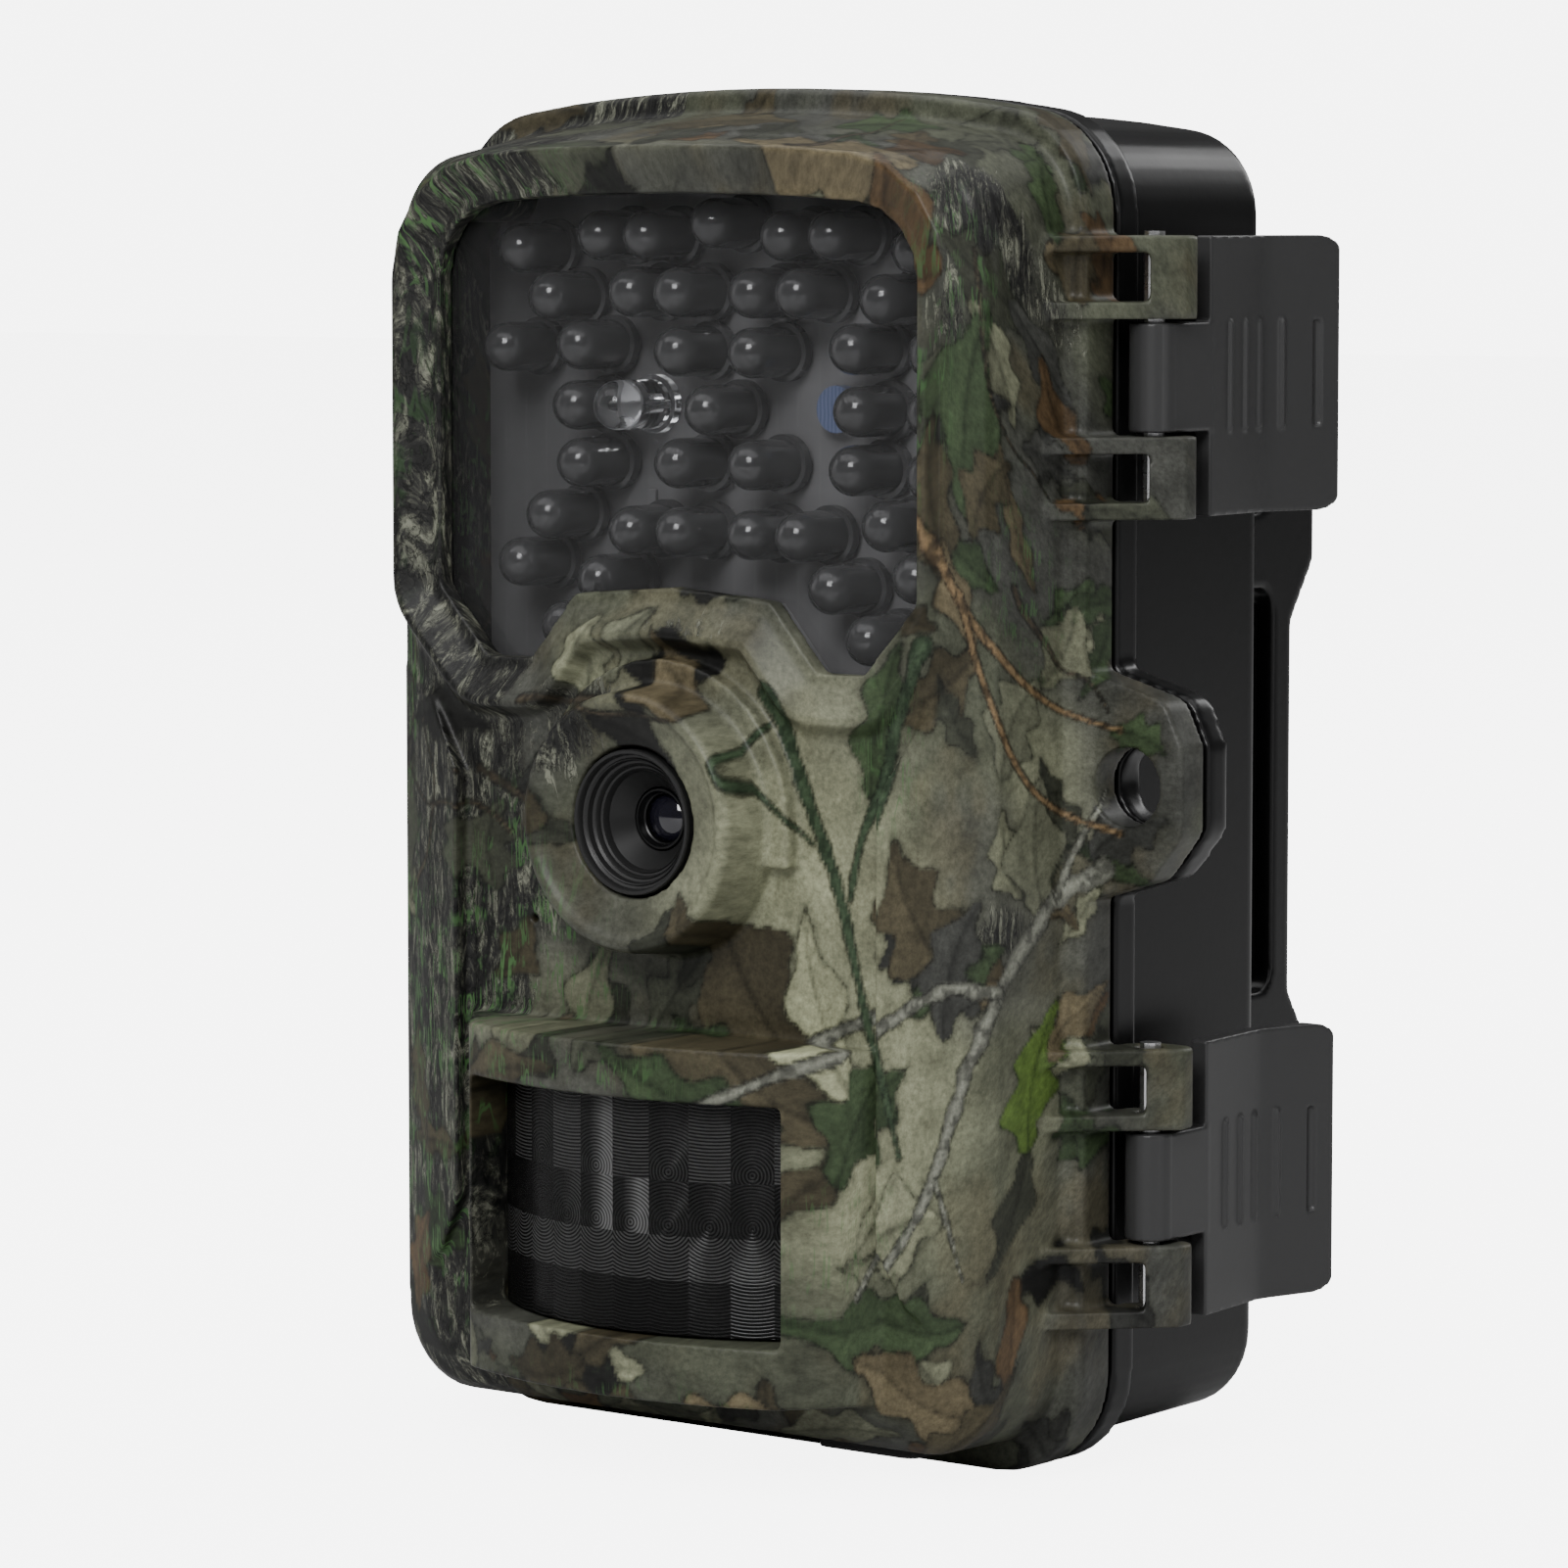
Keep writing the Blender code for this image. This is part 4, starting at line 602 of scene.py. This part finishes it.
def paint_grass(canvas):
    tufts = ((-33, 119, 10, 6, 1), (-37, 100, 5, 12, 0.8), (-24, 124, 9, 4, 0.8), (-37, 72, 4, 10, 0.8),
             (-34, 46, 6, 10, 0.9), (-24, 44, 9, 8, 1), (-12, 50, 6, 8, 0.9), (-18, 56, 6, 6, 0.8),
             (-32, 24, 6, 10, 0.8), (-14, 38, 9, 4, 0.9), (-26, 22, 4, 9, 0.7), (29, 106, 3, 9, 0.7),
             (33, 116, 5, 6, 0.6), (2, 9, 12, 3, 0.5), (-2, 40.5, 8, 2, 0.6), (-46, 100, 6, 14, 0.9),
             (-48, 66, 6, 14, 0.9), (-46, 30, 6, 14, 0.9), (44, 88, 5, 8, 0.5), (26, 70, 3, 6, 0.6),
             (20, 26, 6, 5, 0.4))
    for tuft in tufts:
        canvas.grass(*tuft)


def print_film(mesh):
    """Paints the whole woodland on a mesh whose points are in the row frame."""
    points = np.empty(len(mesh.vertices) * 3)
    mesh.vertices.foreach_get("co", points)
    canvas = Canvas(points.reshape(-1, 3) / MM)
    paint_ground(canvas)
    paint_bark(canvas)
    scatter_leaves(canvas)
    paint_leaves(canvas)
    paint_twigs(canvas)
    paint_grass(canvas)
    canvas.write(mesh)


# --- Geometry helpers ------------------------------------------------------------------------

def add_piece(name, mesh, body, material, slot, *replaced):
    piece = bpy.data.objects.new(name, mesh)
    SCENE.collection.objects.link(piece)
    mesh.materials.clear()
    mesh.materials.append(material)
    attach(piece, body)
    if replaced:
        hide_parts(*replaced)


def softened(node, voxel, rounds, weight=None):
    """A fine copy of a CAD node with every edge rounded off, as a mould leaves it. Each round draws
    every point towards its neighbours and then nearly as far back, which keeps the size."""
    grip, pull_back = 0.5, 0.97
    source = bpy.data.objects.new("softening", NODES[node].data.copy())
    SCENE.collection.objects.link(source)
    remesh = source.modifiers.new("Fine", "REMESH")
    remesh.mode = "VOXEL"
    remesh.voxel_size = voxel * MM
    graph = bpy.context.evaluated_depsgraph_get()
    mesh = bpy.data.meshes.new_from_object(source.evaluated_get(graph))
    bpy.data.objects.remove(source, do_unlink=True)
    count = len(mesh.vertices)
    points = np.empty(count * 3)
    mesh.vertices.foreach_get("co", points)
    points = points.reshape(-1, 3)
    edges = np.empty(len(mesh.edges) * 2, np.int64)
    mesh.edges.foreach_get("vertices", edges)
    edges = edges.reshape(-1, 2)
    degree = np.bincount(edges.ravel(), minlength=count)[:, None].astype(float)
    share = np.full((count, 1), grip) if weight is None else grip * weight(points / MM)[:, None]
    for step in range(rounds * 2):
        total = np.stack([np.bincount(edges[:, 0], points[edges[:, 1], axis], count)
                          + np.bincount(edges[:, 1], points[edges[:, 0], axis], count)
                          for axis in range(3)], 1)
        pull = share if step % 2 == 0 else -share * pull_back
        points = points + (total / np.maximum(degree, 1.0) - points) * pull
    mesh.vertices.foreach_set("co", points.ravel())
    mesh.update()
    mesh.shade_smooth()
    return mesh


def spot(x, y, z):
    """A point of the frame, in metres."""
    return Vector((x, y + SEAM_Y, z)) * MM


def turned(profile, place, steps):
    """bmesh of a (radius, y) profile swept about an axis along Y through place = (x, z)."""
    bm = bmesh.new()
    rings = []
    for radius, y in profile:
        if radius <= 0.0:
            rings.append([bm.verts.new(spot(place[0], y, place[1]))])
            continue
        angles = [2.0 * math.pi * step / steps for step in range(steps)]
        rings.append([bm.verts.new(spot(place[0] + radius * math.cos(angle), y,
                                        place[1] + radius * math.sin(angle))) for angle in angles])
    for low, high in zip(rings, rings[1:]):
        for step in range(steps):
            after = (step + 1) % steps
            if len(low) == 1:
                bm.faces.new((low[0], high[step], high[after]))
            elif len(high) == 1:
                bm.faces.new((low[step], high[0], low[after]))
            else:
                bm.faces.new((low[step], high[step], high[after], low[after]))
    bmesh.ops.recalc_face_normals(bm, faces=bm.faces)
    return bm


def mesh_of(name, parts, smooth):
    """One mesh from several bmeshes, with sharp edges past the given angle."""
    whole = bmesh.new()
    for part in parts:
        scratch = bpy.data.meshes.new("scratch")
        part.to_mesh(scratch)
        part.free()
        whole.from_mesh(scratch)
        bpy.data.meshes.remove(scratch)
    mesh = bpy.data.meshes.new(name)
    whole.to_mesh(mesh)
    whole.free()
    mesh.shade_smooth()
    mesh.set_sharp_from_angle(angle=math.radians(smooth))
    return mesh


def add_built(name, parts, *placing, smooth=40.0):
    """Adds a piece made of bmeshes."""
    add_piece(name, mesh_of(name, parts, smooth), *placing)


def block(low, high, edge):
    """bmesh of a box between two corners, with rounded edges."""
    bm = bmesh.new()
    bmesh.ops.create_cube(bm, size=1.0)
    low, high = Vector(low), Vector(high)
    bmesh.ops.scale(bm, vec=(high - low) * MM, verts=bm.verts)
    bmesh.ops.translate(bm, vec=spot(*((low + high) / 2.0)), verts=bm.verts)
    bmesh.ops.bevel(bm, geom=bm.edges[:], offset=edge * MM, segments=2, affect="EDGES", profile=0.7)
    return bm


def sheet_of(outline, front, back):
    """bmesh of a flat outline of (x, z) points with thickness along Y."""
    bm = bmesh.new()
    near = [bm.verts.new(spot(x, front, z)) for x, z in outline]
    far = [bm.verts.new(spot(x, back, z)) for x, z in outline]
    bm.faces.new(near)
    bm.faces.new(far)
    for index in range(len(outline)):
        after = (index + 1) % len(outline)
        bm.faces.new((near[index], near[after], far[after], far[index]))
    bmesh.ops.recalc_face_normals(bm, faces=bm.faces)
    return bm


def dome(radius, tip, foot):
    """Profile of a light-emitting diode: dome, barrel and the collar at its foot."""
    shoulder = tip + radius
    points = [(0.0, tip)]
    for angle in range(10, 91, 10):
        turn = math.radians(angle)
        points.append((radius * math.sin(turn), shoulder - radius * math.cos(turn)))
    collar = radius + LED_COLLAR
    points += [(radius, foot - 1.1), (collar, foot - 1.0), (collar, foot), (0.0, foot)]
    return points


# --- Pieces ----------------------------------------------------------------------------------

def crisp_weight(points):
    """How far each point of the front housing may be smoothed: less on the thin hardware, which is
    the latch brackets on one side and the hinges on the other."""
    brackets, hinges, least = 37.0, -38.8, 0.45
    thin = (points[:, 0] > brackets) | (points[:, 0] < hinges)
    return np.where(thin, least, 1.0)


def build_front(film):
    mesh = softened("front_housing", 0.36, 4, crisp_weight)
    print_film(mesh)
    add_piece("front_shell", mesh, "camera_body", film, "camo_shell", "front_housing")


def build_rear(black, lever):
    mesh = softened("rear_cover", 0.45, 3)
    add_piece("rear_shell", mesh, "rear_cover", black, "black_shell", "rear_cover")
    rails = []
    for side in (1.0, -1.0):
        near, far = sorted(side * x for x in RAIL_X)
        rails.append(block((near, RAIL_Y[0], RAIL_Z[0]), (far, RAIL_Y[1], RAIL_Z[1]), 0.45))
    add_built("strap_rails", rails, "rear_cover", black, "black_shell")
    for level in ("upper", "lower"):
        mesh = softened(f"latch_{level}", 0.2, 3)
        add_piece(f"lever_{level}", mesh, f"{level}_latch", lever, "black_shell", f"latch_{level}")


def build_diodes(board, epoxy, solder, clear, steel):
    plate = sheet_of(BOARD, BOARD_FRONT, BOARD_BACK)
    chips = []
    for _ in range(CHIP_COUNT):
        x, z = DRAWS.uniform(*CHIP_X), DRAWS.uniform(*CHIP_Z)
        wide, high = DRAWS.choice(((1.0, 0.5), (0.5, 1.0)))
        chips.append(block((x - wide, BOARD_FRONT - 0.4, z - high),
                           (x + wide, BOARD_FRONT + 0.1, z + high), 0.08))
    add_built("diode_board", [plate, *chips], "camera_body", board, "circuit_board", "led_board")
    places = [*LED_PAIRS, *((-x, z) for x, z in LED_PAIRS), *LED_SINGLES]
    domes = [turned(dome(LED_RADIUS, LED_TIP, BOARD_FRONT - 0.6), place, 28) for place in places]
    add_built("infrared_diodes", domes, "camera_body", epoxy, "lens_black")
    dot = [(0.0, BOARD_FRONT - 0.06), (0.28, BOARD_FRONT - 0.05), (0.34, BOARD_FRONT + 0.1),
           (0.0, BOARD_FRONT + 0.1)]
    dots = [turned(dot, (x, z), 10) for x in DOT_COLUMNS for z in DOT_ROWS]
    add_built("solder_dots", dots, "camera_body", solder, "steel")
    x, z = CLEAR_LED
    shell = turned(dome(LED_RADIUS, LED_TIP - 0.3, BOARD_FRONT - 0.3), CLEAR_LED, 40)
    add_built("clear_diode", [shell], "camera_body", clear, "clear_plastic", "clear_led")
    cup = turned([(0.0, -9.6), (0.5, -9.7), (1.0, -10.4), (1.15, -10.4), (0.7, -9.0), (0.4, -8.8),
                  (0.35, -6.6), (0.0, -6.6)], (x - 0.5, z), 20)
    post = block((x + 0.7, -10.0, z - 0.3), (x + 1.5, -6.6, z + 0.3), 0.08)
    add_built("clear_diode_frame", [cup, post], "camera_body", steel, "steel")


def build_window(smoked):
    wider, tuck, middle = 1.012, 0.25, 100.0
    outline = [(x * wider, z + (tuck if z > middle else -tuck)) for x, z in WINDOW]
    pane = sheet_of(outline, PANE_FRONT, PANE_BACK)
    add_built("window_pane", [pane], "camera_body", smoked, "smoked_window", "infrared_window",
              smooth=20.0)


def facet_lens():
    """The motion sensor's lens: rows of small Fresnel lenses on a curved black sheet. arc is the
    distance round the curve and height the distance below the top edge, in millimetres. The upper
    row alternates two kinds of lens; the rows below it share one line of centres. Its colour is a
    painted reflection of the lamps: lit groove lines whose tone changes from row to row, and a painted
    sheen that is strongest in the middle columns and on one side of each lens."""
    wide, groove_pitch = 4.2, 0.34
    upper_foot, second_foot, third_foot = 7.6, 12.9, 17.2
    shared_centre, even_centre, odd_lower = 11.9, -12.0, 18.8
    base_tone, third_tone, even_tone, odd_darker = 0.10, 0.42, 0.40, 0.32
    material, tree, shader = new_material("facet_lens", 0.24, Specular_IOR_Level=0.25)
    arc, height = painted(tree, "arc"), painted(tree, "height")
    column = calc(tree, "FLOOR", calc(tree, "DIVIDE", arc, wide))
    local = calc(tree, "SUBTRACT", arc, calc(tree, "MULTIPLY", calc(tree, "ADD", column, 0.5), wide))
    odd = calc(tree, "ABSOLUTE", calc(tree, "MODULO", column, 2.0))
    upper = calc(tree, "LESS_THAN", height, upper_foot)
    second = calc(tree, "SUBTRACT", calc(tree, "LESS_THAN", height, second_foot), upper)
    third = calc(tree, "SUBTRACT", calc(tree, "LESS_THAN", height, third_foot),
                 calc(tree, "ADD", upper, second))
    own_centre = calc(tree, "ADD", calc(tree, "MULTIPLY", odd, odd_lower), even_centre)
    centre = calc(tree, "ADD", shared_centre, calc(tree, "MULTIPLY", upper, calc(
        tree, "SUBTRACT", own_centre, shared_centre)))
    drop = calc(tree, "SUBTRACT", height, centre)
    squares = [calc(tree, "MULTIPLY", side, side) for side in (local, drop)]
    reach = calc(tree, "SQRT", calc(tree, "ADD", *squares))
    groove = calc(tree, "FRACT", calc(tree, "DIVIDE", reach, groove_pitch))
    line = ramp(tree, groove, [(0.30, neutral(0.0)), (0.55, neutral(1.0)),
                               (0.85, neutral(1.0)), (0.99, neutral(0.0))])
    # Painted sheen: where the lamps' reflection is painted, strongest in the middle columns (near), on
    # one side of each lens (slope) and uneven from column to column (chance).
    draw = put(tree, "TexWhiteNoise", {"W": calc(tree, "ADD", column, 3.0)},
               noise_dimensions="1D").outputs["Value"]
    near = ramp(tree, calc(tree, "ADD", calc(tree, "MULTIPLY", arc, 0.045), 0.5),
                [(0.12, neutral(0.0)), (0.50, neutral(1.0)), (0.62, neutral(1.0)),
                 (0.85, neutral(0.1))])
    slope = ramp(tree, calc(tree, "ADD", calc(tree, "DIVIDE", local, wide), 0.5),
                 [(0.30, neutral(0.0)), (0.75, neutral(1.0))])
    chance = calc(tree, "ADD", 0.4, calc(tree, "MULTIPLY", draw, 0.8))
    shown = calc(tree, "MULTIPLY", near, slope, chance)
    # sheen is painted reflection, laid on the second row and on the odd lenses of the upper row.
    sheen = calc(tree, "MULTIPLY", shown, calc(tree, "ADD", second, calc(tree, "MULTIPLY", upper, odd)))
    upper_tone = calc(tree, "SUBTRACT", even_tone, calc(tree, "MULTIPLY", odd, odd_darker))
    # The row tones are painted reflection too: rows and lenses that catch the lamps get a brighter
    # colour, which the groove lines carry.
    level = calc(tree, "ADD", calc(tree, "MULTIPLY", third, third_tone),
                 calc(tree, "MULTIPLY", upper, upper_tone), base_tone, sheen)
    lit = calc(tree, "MULTIPLY", level, calc(tree, "ADD", calc(tree, "MULTIPLY", line, 0.72),
                                             calc(tree, "MULTIPLY", sheen, 0.28)))
    tree.links.new(mix(tree, lit, neutral(0.0025), neutral(0.20)), shader.inputs["Base Color"])
    tree.links.new(bump(tree, line, 0.5, 0.08), shader.inputs["Normal"])
    return material


def build_motion_lens():
    low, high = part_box("motion_lens")
    half, edge, front, back_y, thick = 18.7, -21.4, -28.1, -16.0, 0.8
    rise = edge - front
    radius = (half ** 2 + rise ** 2) / (2.0 * rise)
    sweep = math.asin(half / radius)
    bottom, top = low.z / MM, high.z / MM
    columns, rows = 128, 52
    bm = bmesh.new()
    arcs = bm.verts.layers.float.new("arc")
    heights = bm.verts.layers.float.new("height")
    grid = []
    for column in range(columns + 1):
        angle = -sweep + 2.0 * sweep * column / columns
        x, y = radius * math.sin(angle), front + radius - radius * math.cos(angle)
        line = []
        for row in range(rows + 1):
            z = bottom + (top - bottom) * row / rows
            vert = bm.verts.new(spot(x, y, z))
            vert[arcs], vert[heights] = radius * angle, top - z
            line.append(vert)
        grid.append(line)
    for near, far in zip(grid, grid[1:]):
        for row in range(rows):
            bm.faces.new((near[row], far[row], far[row + 1], near[row + 1]))
    for line, side in ((grid[0], -1), (grid[-1], 1)):
        back = [bm.verts.new(Vector((side * half * MM, (back_y + SEAM_Y) * MM, vert.co.z)))
                for vert in line]
        for row in range(rows):
            bm.faces.new((line[row], line[row + 1], back[row + 1], back[row]))
    bmesh.ops.solidify(bm, geom=bm.faces[:], thickness=-thick * MM)
    bmesh.ops.recalc_face_normals(bm, faces=bm.faces)
    add_built("facet_lens", [bm], "camera_body", facet_lens(), "sensor_lens", "motion_lens",
              smooth=35.0)


def build_lens(black, coated, dull):
    axis = (0.0, LENS_Z)
    rings = [(7.0, -16.8), (7.0, -25.1), (6.9, -25.3), (6.6, -25.3), (6.48, -25.1), (6.40, -24.6),
             (6.15, -24.45), (6.05, -24.55), (5.95, -24.45), (5.80, -23.9), (5.55, -23.75),
             (5.46, -23.85), (5.36, -23.7), (5.25, -23.3), (5.05, -23.2), (4.96, -23.3), (4.86, -23.1),
             (4.72, -22.6), (3.12, -20.7), (3.08, -20.2), (3.08, -16.8)]
    add_built("lens_rings", [turned(rings, axis, 96)], "camera_body", dull, "lens_black", "lens_bezel",
              smooth=24.0)
    barrel = [(0.0, -5.2), (5.6, -5.2), (5.6, -15.6), (3.0, -15.8), (3.0, -20.5), (2.9, -20.75),
              (2.72, -20.75), (2.62, -20.5), (2.5, -20.1), (2.36, -20.0), (2.36, -19.4), (0.0, -19.3)]
    add_built("barrel", [turned(barrel, axis, 64)], "camera_body", black, "lens_black", "lens_barrel",
              smooth=24.0)
    wide, rise, edge = 2.33, 0.8, -19.55
    front = [(0.0, edge - rise)]
    for angle in range(10, 61, 10):
        turn = math.radians(angle)
        front.append((wide * math.sin(turn) / math.sin(math.radians(60)),
                      edge - rise * (math.cos(turn) - 0.5) / 0.5))
    front += [(wide, -19.42), (0.0, -19.42)]
    add_built("front_element", [turned(front, axis, 48)], "camera_body", coated, "lens_glass",
              "lens_glass", smooth=50.0)


def dress_nodes(finishes):
    """Gives every CAD node that still shows its material."""
    for node, material in finishes.items():
        NODES[node].data.materials.clear()
        NODES[node].data.materials.append(material)


def build_object():
    black = moulded("black_moulding", (0.0035, 0.0035, 0.0037), (0.0050, 0.0050, 0.0052), 0.30,
                    shine=0.24)
    lever = moulded("lever_black", (0.026, 0.026, 0.0264), (0.031, 0.031, 0.0314), 0.36, shine=0.30)
    dull = moulded("dull_black", neutral(0.009), neutral(0.013), 0.42)
    inner = moulded("inner_black", (0.012, 0.012, 0.013), (0.020, 0.020, 0.021), 0.5)
    grey = moulded("grey_moulding", (0.12, 0.12, 0.125), (0.17, 0.17, 0.175), 0.5)
    rubber = moulded("rubber", neutral(0.010), neutral(0.018), 0.8, 0.05, 500.0)
    steel = metal("steel", (0.50, 0.50, 0.51), (0.72, 0.72, 0.73), 0.26)
    brass = metal("brass", (0.55, 0.38, 0.15), (0.75, 0.56, 0.26), 0.3)
    solder = metal("solder", neutral(0.6), neutral(0.8), 0.4)
    # The diode board gets painted shade on its left end (0.55) and painted light on its right end
    # (1.2).
    board = circuit_board("diode_mask", (0.19, 0.19, 0.193), (0.22, 0.22, 0.223), 0.55, 1.2)
    green = circuit_board("main_mask", (0.006, 0.030, 0.016), (0.014, 0.060, 0.032))
    epoxy = moulded("black_epoxy", (0.046, 0.046, 0.047), (0.054, 0.054, 0.055), 0.14, 0.0, 300.0, 0.3,
                    0.5)
    clear = glass("clear_epoxy", (0.96, 0.97, 0.98), 0.02, 1.5)
    coated = moulded("coated_element", (0.004, 0.004, 0.008), (0.008, 0.007, 0.014), 0.08, 0.001,
                     200.0, 1.0)
    screen = moulded("screen_glass", (0.008, 0.010, 0.014), (0.012, 0.014, 0.018), 0.12, 0.001,
                     200.0, 0.8)
    build_front(woodland_film())
    build_rear(black, lever)
    build_window(smoked_glass())
    build_diodes(board, epoxy, solder, clear, steel)
    build_motion_lens()
    build_lens(black, coated, dull)
    cell = cell_sleeve()
    finishes = {"light_cell": light_sensitive(), "screen": screen, "seal": rubber, "port_cover": rubber,
                "tripod_insert": brass, "main_board": green, "camera_board": green,
                "motion_board": green, "control_panel": inner, "battery_door": inner,
                "lens_holder": dull, "power_jack": dull, "memory_card": dull, "flat_cable": grey,
                "ir_filter_drive": grey, "speaker": grey, "power_switch": grey}
    for name in ("motion_sensor", "microphone", "usb_port", "card_slot", "contacts_bottom",
                 "contacts_top", "latch_pin_upper", "latch_pin_lower", "hinge_pin_upper",
                 "hinge_pin_lower", "panel_screw_1", "panel_screw_2", "panel_screw_3", "panel_screw_4"):
        finishes[name] = steel
    for name in ("up", "down", "left", "right", "ok", "menu", "shot"):
        finishes["button_" + name] = grey
    for index in range(1, 5):
        finishes[f"battery_{index}"] = cell
    dress_nodes(finishes)


# --- Studio ----------------------------------------------------------------------------------

def area_light(name, place, target, size, power, height=None):
    """A rectangular lamp, square if no height is given. The whole studio is in metres."""
    data = bpy.data.lights.new(name, "AREA")
    data.energy = power
    data.shape = "RECTANGLE"
    data.size, data.size_y = size, height or size
    light = bpy.data.objects.new(name, data)
    SCENE.collection.objects.link(light)
    light.location = place
    light.rotation_euler = (Vector(target) - Vector(place)).to_track_quat("-Z", "Y").to_euler()


def build_studio():
    """A pale floor and sky that look bright to the camera and light the object far less."""
    floor_glow, sky_seen, sky_light, floor_gap = 5.9, 6.3, 0.10, 0.0002
    bm = bmesh.new()
    bmesh.ops.create_grid(bm, x_segments=2, y_segments=2, size=4.0)
    mesh = bpy.data.meshes.new("floor")
    bm.to_mesh(mesh)
    bm.free()
    floor = bpy.data.objects.new("floor", mesh)
    SCENE.collection.objects.link(floor)
    floor.location.z = -floor_gap
    paper, tree, shader = new_material("paper", 0.8)
    tooth = noise(tree, object_place(tree), 300.0, 2.0)
    tree.links.new(mix(tree, tooth, neutral(0.54), neutral(0.57)), shader.inputs["Base Color"])
    shader.inputs["Emission Color"].default_value = (1.0, 1.0, 1.0, 1.0)
    seen = put(tree, "LightPath").outputs["Is Camera Ray"]
    tree.links.new(spread(tree, seen, 0.0, floor_glow), shader.inputs["Emission Strength"])
    mesh.materials.append(paper)
    world = bpy.data.worlds.new("studio")
    world.use_nodes = True
    sky = world.node_tree
    seen = put(sky, "LightPath").outputs["Is Camera Ray"]
    sky.links.new(spread(sky, seen, sky_light, sky_seen), sky.nodes["Background"].inputs["Strength"])
    sky.nodes["Background"].inputs["Color"].default_value = (1.0, 1.0, 1.0, 1.0)
    SCENE.world = world
    middle = (0.0, 0.0, 0.066)
    area_light("overhead", (0.0, -0.1, 1.3), middle, 2.2, 31.0)
    area_light("key", (0.38, -1.05, 0.74), middle, 0.45, 13.2, 0.5)
    area_light("left", (-0.95, -0.45, 0.35), middle, 0.35, 1.2, 0.8)
    area_light("right", (1.0, -0.15, 0.35), middle, 0.25, 1.8, 0.8)
    area_light("rim", (0.12, 0.95, 0.55), middle, 0.3, 2.0, 0.5)


def build_camera():
    data = bpy.data.cameras.new("camera")
    data.lens = FOCAL_LENGTH
    data.sensor_width = SENSOR_WIDTH
    camera = bpy.data.objects.new("camera", data)
    SCENE.collection.objects.link(camera)
    camera.location = Vector(CAMERA_PLACE) * MM
    azimuth, fall = math.radians(CAMERA_AZIMUTH), math.radians(CAMERA_FALL)
    looking = Vector((-math.sin(azimuth) * math.cos(fall), math.cos(azimuth) * math.cos(fall),
                      -math.sin(fall)))
    camera.rotation_euler = looking.to_track_quat("-Z", "Y").to_euler()
    SCENE.camera = camera


build_camera()
build_object()
build_studio()
